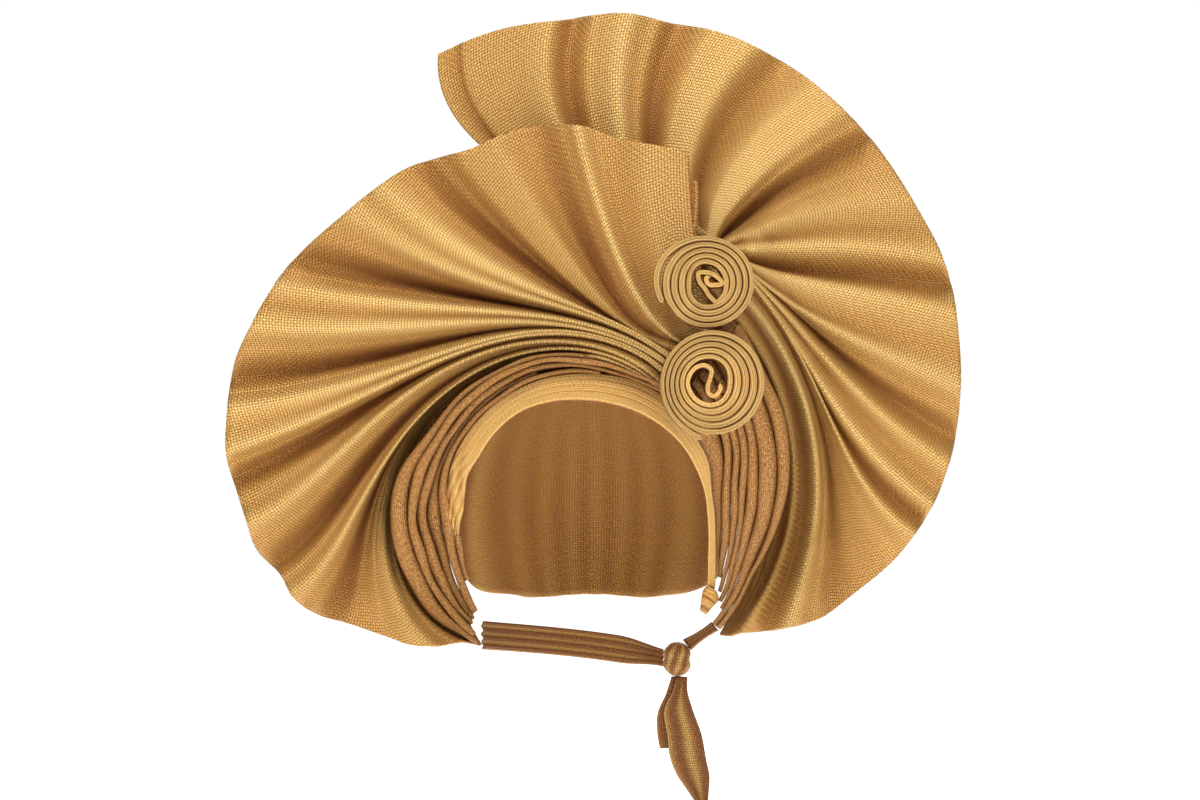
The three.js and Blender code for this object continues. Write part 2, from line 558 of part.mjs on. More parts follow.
// The cap: a dome shell on the head's hollow, drawn out in front to the back of the collar, its hem on the
// nape behind.
function capCrown() {
  const columns = 30;
  const rows = 6;
  const dome = (turn, fall, skin) =>
    new THREE.Vector3(
      (headHalfWidth + skin) * Math.sin(fall) * Math.sin(turn),
      (headHalfDepth + skin) * Math.sin(fall) * Math.cos(turn),
      (headHalfHeight + skin) * Math.cos(fall) - headHalfHeight,
    );
  const positions = [];
  for (const skin of [0, capCloth]) {
    for (let i = 1; i <= rows; i += 1)
      for (let j = 0; j < columns; j += 1) {
        const hem = (column) => along(CAP_HEM, "turn", column, (360 * j) / columns);
        const turn = radians((360 * j) / columns);
        const fall = radians(hem("fall"));
        const back = collarDepth(hem("angle")) + hem("setBack") * collarReach + pleatDepth + clearance;
        const joint = place(hem("angle"), hem("reach") * openingRadius + skin, back + (capCloth - skin) / 2);
        const drawn = THREE.MathUtils.clamp(hem("joined"), 0, 1) * (i / rows) ** 2;
        const pull = joint.sub(dome(turn, fall, skin));
        const p = dome(turn, (fall * i) / rows, skin).addScaledVector(pull, drawn);
        positions.push(p.x, p.y, p.z);
      }
    positions.push(0, 0, skin);
  }
  const index = [];
  const inner = (i, j) => (i - 1) * columns + (j % columns);
  const shift = rows * columns + 1;
  const outer = (i, j) => shift + inner(i, j);
  const quad = (a, b, c, d) => index.push(a, b, c, a, c, d);
  for (let j = 0; j < columns; j += 1) {
    index.push(shift - 1, inner(1, j), inner(1, j + 1));
    index.push(2 * shift - 1, outer(1, j + 1), outer(1, j));
    for (let i = 1; i < rows; i += 1) {
      quad(inner(i, j), inner(i + 1, j), inner(i + 1, j + 1), inner(i, j + 1));
      quad(outer(i, j), outer(i, j + 1), outer(i + 1, j + 1), outer(i + 1, j));
    }
    quad(inner(rows, j), outer(rows, j), outer(rows, j + 1), inner(rows, j + 1));
  }
  return part("cap_crown", meshFrom(positions, index), DEEP_GOLD);
}

// A rosette: a strip rolled up and seen end on, as a spiral wall. Its middle lies at an angle and a radius
// about the opening, its back face at a depth, and the strip's outer end at an angle round the middle.
function rosette(name, shape) {
  const pitch = rosettePly + rosetteGap;
  const core = pitch * 0.9;
  const turns = (shape.radius - rosettePly / 2 - core) / pitch;
  const steps = Math.round(turns * rosetteSides);
  const wall = (side) =>
    Array.from({ length: steps + 1 }, (_, i) => {
      const turn = (turns * i) / steps;
      const reach = core + pitch * turn + (side * rosettePly) / 2;
      const way = shape.twist * 2 * Math.PI * (turn - turns) + radians(shape.end);
      return new THREE.Vector2(reach * Math.cos(way), reach * Math.sin(way));
    });
  const outline = new THREE.Shape([...wall(1), ...wall(-1).reverse()]);
  const geometry = new THREE.ExtrudeGeometry(outline, { depth: rosetteHeight, bevelEnabled: false });
  geometry.rotateX(Math.PI / 2);
  const mesh = part(name, geometry, BRIGHT_GOLD);
  mesh.position.copy(place(shape.angle, shape.reach * openingRadius, shape.depth * collarReach));
  return mesh;
}

// A strip of cloth along a list of stations, each with a middle, a half width and the direction of its width.
function strip(name, stations, direction, finish) {
  const grid = stations.map(({ middle, half, across }) =>
    [-1, -0.33, 0.33, 1].map((side) => middle.clone().addScaledVector(across, side * half)),
  );
  return part(name, sheet(grid, tieCloth, direction, false), finish);
}

const UPRIGHT = new THREE.Vector3(0, 0, 1);
const SIDEWAYS = new THREE.Vector3(1, 0, 0);

// A point behind the neck: a turn from the left (0) round the back (90) to the right (180), and a drop
const behindNeck = (turn, drop, out = 0) =>
  new THREE.Vector3(
    -(neckHalfWidth + out) * Math.cos(radians(turn)),
    (neckHalfDepth + out) * Math.sin(radians(turn)),
    -drop,
  );

const STRAP_END = 11;
function napeStrap() {
  const steps = 11;
  const stations = Array.from({ length: steps }, (_, i) => {
    const way = i / (steps - 1);
    const turn = mix(napeFrom, knotTurn - STRAP_END, way);
    const middle = behindNeck(turn, mix(napeDrop, knotDrop, way), mix(napeOut, 0, way));
    return { middle, half: strapWidth / 2, across: UPRIGHT };
  });
  const outward = (i) => stations[i].middle.clone().setZ(0).normalize();
  return strip("nape_strap", stations, outward, DEEP_GOLD);
}

function sideStrap() {
  const steps = 5;
  const head = place(sideFrom, sideRadius * openingRadius, collarDepth(sideFrom) + 0.6 * pleatDepth);
  const foot = knotMiddle().add(new THREE.Vector3(0.33 * knotSize, 0, 0.46 * knotSize));
  const run = foot.clone().sub(head).normalize();
  const across = new THREE.Vector3().crossVectors(run, TOWARDS_BACK).normalize();
  const stations = Array.from({ length: steps }, (_, i) => {
    const way = i / (steps - 1);
    return { middle: head.clone().lerp(foot, way), half: mix(0.24, 0.3, way) * strapWidth, across };
  });
  return strip("side_strap", stations, () => TOWARDS_BACK, DEEP_GOLD);
}

// The knot: a lump with a waist round its middle where the strap wraps it
function tieKnot() {
  const geometry = new THREE.SphereGeometry(knotSize / 2, 12, 8);
  const points = geometry.getAttribute("position");
  for (let i = 0; i < points.count; i += 1) {
    const p = new THREE.Vector3().fromBufferAttribute(points, i);
    const waist = 1 - knotWaist * Math.exp(-((p.z / (knotWaist * knotSize)) ** 2));
    points.setXYZ(i, p.x * waist, p.y * waist * knotDeep, p.z * knotTall);
  }
  const positions = [];
  const seen = new Map();
  const index = Array.from(geometry.index.array, (v) => {
    const p = new THREE.Vector3().fromBufferAttribute(points, v);
    const key = [p.x, p.y, p.z].map((c) => c.toFixed(3)).join();
    if (!seen.has(key)) {
      seen.set(key, seen.size);
      positions.push(p.x, p.y, p.z);
    }
    return seen.get(key);
  });
  const faces = [];
  for (let i = 0; i < index.length; i += 3) {
    const [a, b, c] = index.slice(i, i + 3);
    if (a !== b && b !== c && c !== a) faces.push(a, b, c);
  }
  const mesh = part("tie_knot", meshFrom(positions, faces), DEEP_GOLD);
  mesh.position.copy(knotMiddle());
  return mesh;
}
const knotMiddle = () => behindNeck(knotTurn, knotDrop);

// Tails of the knot: middle and width at shares of the length, as shares of the width
const LONG_TAIL = [
  { drop: 0, middle: 0, width: 0.3 },
  { drop: 0.1, middle: -0.05, width: 0.4 },
  { drop: 0.235, middle: -0.1, width: 0.8 },
  { drop: 0.43, middle: 0.07, width: 1 },
  { drop: 0.63, middle: 0.2, width: 1.03 },
  { drop: 0.735, middle: 0.33, width: 0.94 },
  { drop: 0.84, middle: 0.46, width: 0.64 },
  { drop: 0.955, middle: 0.59, width: 0.28 },
  { drop: 1, middle: 0.64, width: 0.1 },
];
const SHORT_TAIL = [
  { drop: 0, middle: 0, width: 0.4 },
  { drop: 0.25, middle: -0.1, width: 0.7 },
  { drop: 0.5, middle: -0.3, width: 0.95 },
  { drop: 0.8, middle: -0.3, width: 1 },
  { drop: 1, middle: -0.25, width: 0.9 },
];

function tail(name, rows, length, width, top) {
  const stations = rows.map((row) => {
    const drop = row.drop * length;
    const middle = top.clone().add(new THREE.Vector3(row.middle * width, tailLean * drop, -drop));
    return { middle, half: (row.width * width) / 2, across: SIDEWAYS };
  });
  return strip(name, stations, () => TOWARDS_BACK, GOLD);
}

// The turned hem that shows beside the left fan's right end: a strip whose inner side is tucked behind it
const HEM_STRIP = [
  { turn: 0.6, width: 0.55 },
  { turn: 0.75, width: 0.8 },
  { turn: 0.87, width: 0.95 },
  { turn: 0.97, width: 1 },
];
function leftFanHem() {
  const end = { root: LEFT_FAN.start, ...LEFT_FOLDS[0] };
  const back = (fanCloth + tieCloth) / 2 + clearance;
  const grid = HEM_STRIP.map((row) => {
    const edge = fanPoint(LEFT_FAN, end, row.turn);
    const shift = (share) => new THREE.Vector3(share * row.width * hemWidth - hemTuck, back, 0);
    return [0, 0.5, 1].map((share) => edge.clone().add(shift(share)));
  });
  return part("left_fan_hem", sheet(grid, tieCloth, () => TOWARDS_BACK), GOLD);
}

// The crumpled fold at the right band's lower end
const JAW_SEAMS = [
  { angle: -28.3, inner: 1.14, outer: 1.222 },
  { angle: -30.5, inner: 1.13, outer: 1.276 },
  { angle: -33.5, inner: 1.15, outer: 1.27 },
  { angle: -38, inner: 1.2, outer: 1.26 },
];
function jawFold() {
  const rings = JAW_SEAMS.map((row) =>
    foldRing(
      row.angle,
      openingRadius * row.inner + clearance / 2,
      openingRadius * row.outer - clearance / 2,
      collarDepth(row.angle),
    ),
  );
  return part("jaw_fold", loft(rings, FOLD_CAPS), BRIGHT_GOLD);
}

const group = new THREE.Group();
group.add(capCrown(), frontBand());
for (const mesh of pleats("left", LEFT_PLEATS, LEFT_SEAMS, LEFT_STATIONS)) group.add(mesh);
for (const mesh of pleats("right", RIGHT_PLEATS, RIGHT_SEAMS, RIGHT_STATIONS)) group.add(mesh);
group.add(fan("left_fan", LEFT_FAN), leftFanHem(), fan("right_fan", RIGHT_FAN), jawFold());
group.add(
  rosette("rosette_upper", {
    angle: 63.6,
    reach: 2.164,
    depth: -0.863,
    radius: upperRosetteRadius,
    twist: 1,
    end: 180,
  }),
  rosette("rosette_lower", {
    angle: 47.2,
    reach: 1.534,
    depth: -0.897,
    radius: lowerRosetteRadius,
    twist: 1,
    end: 245,
  }),
);
group.add(napeStrap(), sideStrap(), tieKnot());
const knotFoot = knotMiddle().add(new THREE.Vector3(0, 0, (-knotTall * knotSize) / 2 - clearance));
const besideFoot = knotFoot.clone().add(new THREE.Vector3(0.15 * knotSize, 0, 0));
const behindFoot = knotFoot.clone().add(new THREE.Vector3(0, tieCloth + 1, 0));
group.add(
  tail("tie_tail_long", LONG_TAIL, longTailLength, longTailWidth, besideFoot),
  tail("tie_tail_short", SHORT_TAIL, shortTailLength, shortTailWidth, behindFoot),
);
export default group;
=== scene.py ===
# %% [markdown]
# # A tied head tie in woven gold cloth
# This lesson dresses a plain CAD model of a head tie: a cap, a flat front band, a collar of narrow pleats
# round its front opening, two wide fans of stiff cloth, two rolled rosettes and a knot with two tails.
# Every piece of cloth is a surface worked out with numpy: a grid of points that is a function of two
# numbers, how far along the cloth and how far across it. Nearly every line of this object turns about the
# middle of the front opening, so the lesson first makes one ruler for all of them: an angle, a radius and
# a depth.

import bpy
import numpy as np
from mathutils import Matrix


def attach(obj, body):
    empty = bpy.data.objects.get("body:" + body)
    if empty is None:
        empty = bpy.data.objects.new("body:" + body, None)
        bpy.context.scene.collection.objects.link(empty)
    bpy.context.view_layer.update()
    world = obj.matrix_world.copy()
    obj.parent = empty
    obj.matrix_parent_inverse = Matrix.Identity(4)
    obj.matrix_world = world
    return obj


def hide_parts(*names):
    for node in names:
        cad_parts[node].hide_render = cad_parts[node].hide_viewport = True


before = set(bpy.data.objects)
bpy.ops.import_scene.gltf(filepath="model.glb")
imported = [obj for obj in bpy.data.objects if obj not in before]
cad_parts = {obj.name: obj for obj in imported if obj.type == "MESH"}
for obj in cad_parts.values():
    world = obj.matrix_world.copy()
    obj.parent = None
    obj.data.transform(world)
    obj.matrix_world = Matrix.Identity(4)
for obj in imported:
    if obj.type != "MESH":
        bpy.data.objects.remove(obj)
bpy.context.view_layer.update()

MM = 0.001
EYE_BACK = 1500.0
EYE_X, EYE_Z = 6.0, -28.8
OPENING_X, OPENING_Z = -3.0, -100.8
OPENING = 73.0


def place(angle, radius, depth):
    """Points in metres. Seen from the eye, each lies at an angle (degrees, 0 right, 90 up) and a radius
    (mm) about the middle of the front opening. Further back by depth (mm) it moves out from the eye's axis
    in proportion."""
    near = 1 + depth / EYE_BACK
    turn = np.radians(angle)
    x = EYE_X + (OPENING_X + radius * np.cos(turn) - EYE_X) * near
    z = EYE_Z + (OPENING_Z + radius * np.sin(turn) - EYE_Z) * near
    return np.stack(np.broadcast_arrays(x, depth, z), -1) * MM


def mix(a, b, t):
    """The value a share t of the way from a to b."""
    return a + (b - a) * t


def ease(t):
    """0 up to t = 0, 1 from t = 1, and a smooth S between: 3 t squared minus 2 t cubed."""
    t = np.clip(t, 0, 1)
    return t * t * (3 - 2 * t)


def curve(rows, column, at):
    """A smooth line through one column of a table whose first column rises: a cubic between two rows, with
    the slope at each row taken from its two neighbours."""
    table = np.array(rows, float)
    key, value = table[:, 0], table[:, column]
    slope = np.gradient(value, key)
    at = np.clip(at, key[0], key[-1])
    i = np.clip(np.searchsorted(key, at, side="right") - 1, 0, len(key) - 2)
    span = key[i + 1] - key[i]
    t = (at - key[i]) / span
    rise, lead, trail = value[i + 1] - value[i], slope[i] * span, slope[i + 1] * span
    return value[i] + t * lead + t**2 * (3 * rise - 2 * lead - trail) + t**3 * (lead + trail - 2 * rise)


# %% [markdown]
# ## Camera, light and floor
# The photograph looks straight at the front from about a metre and a half, level with the opening's top.
# A lens of 75 mm on a 36 mm sensor shows 720 mm at the depth of the cap's top, which is the photograph's
# own width. Gold cloth shows its folds by what it mirrors, so the light is soft and comes from above and
# in front, the room is dim to the cloth and bright only to the camera.

# %% Camera
LENS, SENSOR = 75, 36
camera_data = bpy.data.cameras.new("camera")
camera_data.lens = LENS
camera_data.sensor_width = SENSOR
camera = bpy.data.objects.new("camera", camera_data)
camera.location = (EYE_X * MM, -EYE_BACK * MM, EYE_Z * MM)
camera.rotation_euler = (np.pi / 2, 0, 0)
bpy.context.scene.collection.objects.link(camera)
bpy.context.scene.camera = camera
bpy.context.scene.view_settings.view_transform = "Standard"
print("camera stands", EYE_BACK * MM, "m in front")

# %% Light
ROOM_LIGHT = 0.25
ROOM_COLOUR = (1, 0.97, 0.93, 1)
BACKGROUND = 1.0
WHITE = (1, 1, 1, 1)


def softbox(name, position, target, size, power):
    """A square area light at a position, turned to look at a target."""
    data = bpy.data.lights.new(name, "AREA")
    data.shape = "SQUARE"
    data.size = size
    data.energy = power
    lamp = bpy.data.objects.new(name, data)
    lamp.location = position
    away = np.array(position, float) - np.array(target, float)
    turn = np.arctan2(away[0], -away[1])
    lamp.rotation_euler = (np.arccos(away[2] / np.linalg.norm(away)), 0, turn)
    bpy.context.scene.collection.objects.link(lamp)


softbox("key_light", (-0.7, -1.5, 1.5), (0, 0, 0), 0.7, 28)
softbox("fill_light", (1.3, -1.4, 0.7), (0, 0, -0.05), 0.8, 7)
softbox("front_light", (0.25, -2.3, 0.8), (0, 0, -0.05), 1.2, 9)
softbox("top_light", (0.2, -0.2, 1.6), (0, 0, 0), 0.9, 15)
softbox("back_light", (0.4, 1.8, 1.0), (0, 0, 0), 1.2, 14)

world = bpy.data.worlds.new("studio")
bpy.context.scene.world = world
world.use_nodes = True
tree = world.node_tree
tree.nodes.clear()
room = tree.nodes.new("ShaderNodeBackground")
room.inputs["Color"].default_value = ROOM_COLOUR
room.inputs["Strength"].default_value = ROOM_LIGHT
seen = tree.nodes.new("ShaderNodeBackground")
seen.inputs["Color"].default_value = WHITE
seen.inputs["Strength"].default_value = BACKGROUND
rays = tree.nodes.new("ShaderNodeLightPath")
choose = tree.nodes.new("ShaderNodeMixShader")
out = tree.nodes.new("ShaderNodeOutputWorld")
tree.links.new(rays.outputs["Is Camera Ray"], choose.inputs["Fac"])
tree.links.new(room.outputs["Background"], choose.inputs[1])
tree.links.new(seen.outputs["Background"], choose.inputs[2])
tree.links.new(choose.outputs["Shader"], out.inputs["Surface"])

# %% Floor
FLOOR_DROP = 0.42
FLOOR_REACH = 4.0
FLOOR_GREY = (0.9, 0.9, 0.9, 1)
FLOOR_ROUGH = 0.8
FLOOR_GLOW = 0.9
corners = np.array([(-1, -1), (1, -1), (1, 1), (-1, 1)]) * FLOOR_REACH
floor_mesh = bpy.data.meshes.new("floor")
floor_mesh.from_pydata([(x, y, -FLOOR_DROP) for x, y in corners], [], [(0, 1, 2, 3)])
floor = bpy.data.objects.new("floor", floor_mesh)
bpy.context.scene.collection.objects.link(floor)
floor_paint = bpy.data.materials.new("floor_paint")
floor_paint.use_nodes = True
floor_shader = floor_paint.node_tree.nodes["Principled BSDF"]
floor_shader.inputs["Base Color"].default_value = FLOOR_GREY
floor_shader.inputs["Roughness"].default_value = FLOOR_ROUGH
floor_shader.inputs["Emission Color"].default_value = WHITE
floor_shader.inputs["Emission Strength"].default_value = FLOOR_GLOW
floor_mesh.materials.append(floor_paint)
print("floor lies", FLOOR_DROP, "m below the crown")

# %% [markdown]
# ## Woven gold cloth
# The real cloth is a plain weave of flat metallic yarns: each yarn goes over one and under the next, and
# a dark point shows where four yarns meet. One node group makes that weave for every piece from the
# piece's own UV map, which is the cloth laid flat in metres, so the yarns keep their true width. The
# group gives a height for the bump, a mask of the dark points and a slow mottle. Each finish then places
# the group with its own yarn width and mixes three golds by painted shading: a pale gold as painted
# highlight on the crests, mid on the slopes, and deep orange brown as painted shade down in the folds,
# read from the attribute of painted shading that each surface carries.


# %% The weave, as a node group
DRIFT_SCALE = 55.0
MOTTLE_SCALE = 650.0
OVER_EDGE = 0.25
DOT_GAIN = 1.5


def node(tree, kind, place_in=None, **values):
    """A new node, with its properties set, and the sockets named in place_in linked or set."""
    made = tree.nodes.new(kind)
    for name, value in values.items():
        setattr(made, name, value)
    for name, value in (place_in or {}).items():
        socket = made.inputs[name]
        if isinstance(value, bpy.types.NodeSocket):
            tree.links.new(value, socket)
        else:
            socket.default_value = value
    return made


def maths(tree, operation, a, b=0.0):
    """The output of a Math node on two values or sockets."""
    return node(tree, "ShaderNodeMath", {0: a, 1: b}, operation=operation).outputs[0]


weave = bpy.data.node_groups.new("gold_weave", "ShaderNodeTree")
weave.interface.new_socket("Cloth", in_out="INPUT", socket_type="NodeSocketVector")
weave.interface.new_socket("Yarn", in_out="INPUT", socket_type="NodeSocketFloat")
weave.interface.new_socket("Wander", in_out="INPUT", socket_type="NodeSocketFloat")
weave.interface.new_socket("Height", in_out="OUTPUT", socket_type="NodeSocketFloat")
weave.interface.new_socket("Dots", in_out="OUTPUT", socket_type="NodeSocketFloat")
weave.interface.new_socket("Mottle", in_out="OUTPUT", socket_type="NodeSocketFloat")
given = node(weave, "NodeGroupInput").outputs
given_out = node(weave, "NodeGroupOutput")
noise_in = {"Vector": given["Cloth"], "Scale": DRIFT_SCALE, "Detail": 2.0}
drift = node(weave, "ShaderNodeTexNoise", noise_in).outputs["Color"]
centred_in = {0: drift, 1: (0.5, 0.5, 0.5)}
centred = node(weave, "ShaderNodeVectorMath", centred_in, operation="SUBTRACT").outputs[0]
sized_in = {0: centred, "Scale": given["Wander"]}
sized = node(weave, "ShaderNodeVectorMath", sized_in, operation="SCALE").outputs[0]
moved = node(weave, "ShaderNodeVectorMath", {0: given["Cloth"], 1: sized}, operation="ADD").outputs[0]
axes = node(weave, "ShaderNodeSeparateXYZ", {0: moved}).outputs


def yarn_wave(axis):
    """The sine of pi times the place along an axis over the yarn's width: zero at each gap between two
    yarns."""
    return maths(weave, "SINE", maths(weave, "DIVIDE", maths(weave, "MULTIPLY", axis, np.pi), given["Yarn"]))


across = yarn_wave(axes["X"])
along = yarn_wave(axes["Y"])
over = node(
    weave,
    "ShaderNodeMapRange",
    {"Value": maths(weave, "MULTIPLY", across, along), "From Min": -OVER_EDGE, "From Max": OVER_EDGE},
    interpolation_type="SMOOTHSTEP",
).outputs["Result"]
warp = maths(weave, "ABSOLUTE", across)
weft = maths(weave, "ABSOLUTE", along)
height = node(weave, "ShaderNodeMix", {"Factor": over, 2: weft, 3: warp}, data_type="FLOAT").outputs[0]
gaps = maths(weave, "MULTIPLY", maths(weave, "SUBTRACT", 1.0, warp), maths(weave, "SUBTRACT", 1.0, weft))
patches = node(weave, "ShaderNodeTexNoise", {"Vector": given["Cloth"], "Scale": MOTTLE_SCALE, "Detail": 3.0})
weave.links.new(height, given_out.inputs["Height"])
weave.links.new(maths(weave, "MULTIPLY", gaps, DOT_GAIN), given_out.inputs["Dots"])
weave.links.new(patches.outputs["Fac"], given_out.inputs["Mottle"])
print("weave group holds", len(weave.nodes), "nodes")

# %% The golds
# The pale gold is painted highlight and the deep gold is painted shade; the mid gold is the cloth's own.
HIGHLIGHT_GOLD = (0.82, 0.54, 0.18)
MID = (0.57, 0.295, 0.07)
SHADE_GOLD = (0.28, 0.088, 0.014)
DEEP_END, PALE_END = 0.08, 0.92
DOT_SHADE = 0.35
YARN_RISE = 0.35
YARN_WANDER = 0.5
RELIEF = 0.9


def gold_cloth(
    name, yarn=1.8, highlight_gold=HIGHLIGHT_GOLD, middle=MID, shade_gold=SHADE_GOLD, rough=0.46, metal=0.45, dots=0.9, speck=0.7
):
    """A finish of woven gold. Colour: the deep gold (painted shade), the middle gold and the pale gold
    (painted highlight) along the painted shading attribute (0 in a valley, 1 on a crest), moved by the
    mottle as far as speck says, and darkened at the points where four yarns meet."""
    paint = bpy.data.materials.new(name)
    paint.use_nodes = True
    tree = paint.node_tree
    shader = tree.nodes["Principled BSDF"]
    cloth = node(tree, "ShaderNodeUVMap", uv_map="cloth").outputs["UV"]
    yarns = node(tree, "ShaderNodeGroup", node_tree=weave)
    tree.links.new(cloth, yarns.inputs["Cloth"])
    yarns.inputs["Yarn"].default_value = yarn * MM
    yarns.inputs["Wander"].default_value = YARN_WANDER * yarn * MM
    # The attribute read here is painted shading: painted highlight on crests, painted shade in valleys.
    painted_shading = node(tree, "ShaderNodeAttribute", attribute_name="painted_shading").outputs["Fac"]
    stirred = maths(tree, "MULTIPLY", maths(tree, "SUBTRACT", yarns.outputs["Mottle"], 0.5), speck)
    painted_light = node(tree, "ShaderNodeValToRGB", {"Fac": maths(tree, "ADD", painted_shading, stirred)})
    ramp = painted_light.color_ramp
    ramp.elements[0].position, ramp.elements[0].color = DEEP_END, (*shade_gold, 1)
    ramp.elements[1].position, ramp.elements[1].color = PALE_END, (*highlight_gold, 1)
    ramp.elements.new(0.5).color = (*middle, 1)
    dark = maths(tree, "MULTIPLY", yarns.outputs["Dots"], dots)
    shade = tuple(DOT_SHADE * c for c in shade_gold) + (1,)
    colour = node(tree, "ShaderNodeMix", data_type="RGBA")
    tree.links.new(dark, colour.inputs["Factor"])
    tree.links.new(painted_light.outputs["Color"], colour.inputs[6])
    colour.inputs[7].default_value = shade
    tree.links.new(colour.outputs[2], shader.inputs["Base Color"])
    bump = node(tree, "ShaderNodeBump", {"Height": yarns.outputs["Height"], "Strength": RELIEF})
    bump.inputs["Distance"].default_value = YARN_RISE * yarn * MM
    tree.links.new(bump.outputs["Normal"], shader.inputs["Normal"])
    shader.inputs["Metallic"].default_value = metal
    shader.inputs["Roughness"].default_value = rough
    return paint


FAN_CLOTH = gold_cloth("fan_cloth_gold")
# The pleats are the same gold cloth as the fans; their darker golds are painted shade.
PLEAT_CLOTH = gold_cloth(
    "pleat_cloth_gold",
    yarn=1.4,
    highlight_gold=(0.64, 0.37, 0.11),
    middle=(0.43, 0.185, 0.04),
    shade_gold=(0.2, 0.058, 0.009),
    rough=0.55,
    metal=0.35,
    speck=1.8,
)
BAND_CLOTH = gold_cloth(
    "band_cloth_gold",
    yarn=1.3,
    highlight_gold=(0.8, 0.5, 0.16),
    middle=(0.68, 0.36, 0.085),
    rough=0.55,
    metal=0.3,
    dots=0.5,
    speck=1.0,
)
# The rosettes are the same gold cloth as the fans; their brighter golds are painted light.
ROSETTE_CLOTH = gold_cloth(
    "rosette_cloth_gold",
    yarn=1.3,
    highlight_gold=(0.98, 0.66, 0.23),
    middle=(0.86, 0.45, 0.11),
    rough=0.6,
    metal=0.15,
    speck=1.4,
)
# The straps, knot and tails are the same gold cloth as the fans; their darker golds are painted shade.
TIE_CLOTH = gold_cloth(
    "tie_cloth_gold",
    yarn=1.5,
    highlight_gold=(0.52, 0.31, 0.09),
    middle=(0.34, 0.155, 0.035),
    shade_gold=(0.18, 0.055, 0.009),
    rough=0.5,
    metal=0.4,
    speck=1.0,
)
CAP_CLOTH = gold_cloth("cap_cloth_gold", yarn=1.5, rough=0.6, metal=0.25, speck=0.8)
print("finishes:", [m.name for m in bpy.data.materials])

# %% [markdown]
# ## From a grid of points to a piece
# A surface here is a grid: rows of points with the same count in each. One helper puts any grid into a
# mesh with a UV map that is the cloth laid flat, an attribute of painted shading, painted highlight and
# painted shade by where each point lies on its fold, and a wall from the Solidify modifier. It then makes
# the calls that every piece of this model needs.


# %% Grids and pieces
SHEET_AREAS = {}
SHEET_FLATS = {}


def flat_lengths(grid):
    """The cloth laid flat: for each point the length along its row and the length along its column from the
    start, each the running sum of the steps between neighbours. The row's length is the widest row's for
    all rows."""
    steps = np.linalg.norm(np.diff(grid, axis=1), axis=2)
    widest = steps[np.argmax(steps.sum(1))]
    run = np.concatenate([[0], np.cumsum(widest)])
    rise = np.linalg.norm(np.diff(grid, axis=0), axis=2)
    climb = np.concatenate([np.zeros((1, grid.shape[1])), np.cumsum(rise, axis=0)])
    return np.stack([np.broadcast_to(run, climb.shape), climb], -1)


def surface(name, grid, painted_shading, finish, closed=False):
    """A mesh object from a grid (rows, columns, xyz): a face between each four neighbours, smooth, with its
    UV map "cloth" and its attribute of painted shading. A closed grid joins its last column to its first."""
    rows, columns = grid.shape[:2]
    joined = np.concatenate([grid, grid[:, :1]], axis=1) if closed else grid
    flat = flat_lengths(joined)
    index = np.arange(rows * columns).reshape(rows, columns)
    right = np.roll(index, -1, axis=1) if closed else index[:, 1:]
    left = index if closed else index[:, :-1]
    quads = np.stack([left[:-1], right[:-1], right[1:], left[1:]], -1).reshape(-1, 4)
    mesh = bpy.data.meshes.new(name)
    mesh.from_pydata(grid.reshape(-1, 3).tolist(), [], quads.tolist())
    layer = mesh.uv_layers.new(name="cloth")
    corners = np.stack([flat[:-1, :-1], flat[:-1, 1:], flat[1:, 1:], flat[1:, :-1]], 2)
    layer.data.foreach_set("uv", corners.astype(np.float32).ravel())
    # The attribute holds painted shading, painted highlight and painted shade, not the cloth's own colour.
    shade = mesh.attributes.new("painted_shading", "FLOAT", "POINT")
    shade.data.foreach_set("value", np.broadcast_to(painted_shading, (rows, columns)).astype(np.float32).ravel())
    mesh.shade_smooth()
    mesh.materials.append(finish)
    piece = bpy.data.objects.new(name, mesh)
    bpy.context.scene.collection.objects.link(piece)
    sides = np.cross(grid[1:, :-1] - grid[:-1, :-1], grid[:-1, 1:] - grid[:-1, :-1])
    SHEET_AREAS[name] = float(np.linalg.norm(sides, axis=2).sum())
    widths = np.linalg.norm(np.diff(grid, axis=1), axis=2).sum(1)
    lengths = np.linalg.norm(np.diff(grid, axis=0), axis=2).sum(0)
    SHEET_FLATS[name] = (float(widths.max()), float(lengths.max()))
    return piece


def wall(piece, thickness):
    """Gives a surface the thickness of its cloth, half to each side, with its edges closed."""
    modifier = piece.modifiers.new("cloth_wall", "SOLIDIFY")
    modifier.thickness = thickness * MM
    modifier.offset = 0
    modifier.use_rim = True
    return piece


def doubled(piece):
    """For a strip folded in two, whose surface goes round both layers: its flat cut is half of what goes
    round."""
    around, run = SHEET_FLATS[piece.name]
    SHEET_FLATS[piece.name] = (around / 2, run)
    SHEET_AREAS[piece.name] /= 2


def dress(piece, nodes):
    """Sets the piece on what it rides on, the root, and hides the CAD nodes it stands for. Its flat cut, the
    widest row by the longest column, and the surface's own area stay in SHEET_FLATS and SHEET_AREAS."""
    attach(piece, "root")
    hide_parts(*nodes)
    return piece


# %% [markdown]
# ## The collar's own line
# The pleats and the band all follow one line round the opening: far in front at its top and further back
# towards both lower ends. That line is one short table of depths, read by every piece that lies on it.

# %% Collar depth
COLLAR = (
    (-42, 14), (-18, -12), (2, -38), (27, -66), (45, -84), (64, -90), (90, -86), (120, -73), (150, -52),
    (180, -28), (205, -5), (230, 14),
)  # angle in degrees, depth in mm


def collar_depth(angle):
    """Depth in mm of the pleats' crests at an angle round the opening."""
    return curve(COLLAR, 1, angle)


def ripple(angle, size, *waves):
    """A small handmade unevenness: a sum of sines of the angle, each (waves in a turn, phase), of one
    size."""
    turn = np.radians(angle)
    return size * sum(np.sin(count * turn + phase) for count, phase in waves) / len(waves)


print("collar reaches from", collar_depth(64), "to", collar_depth(-42), "mm")

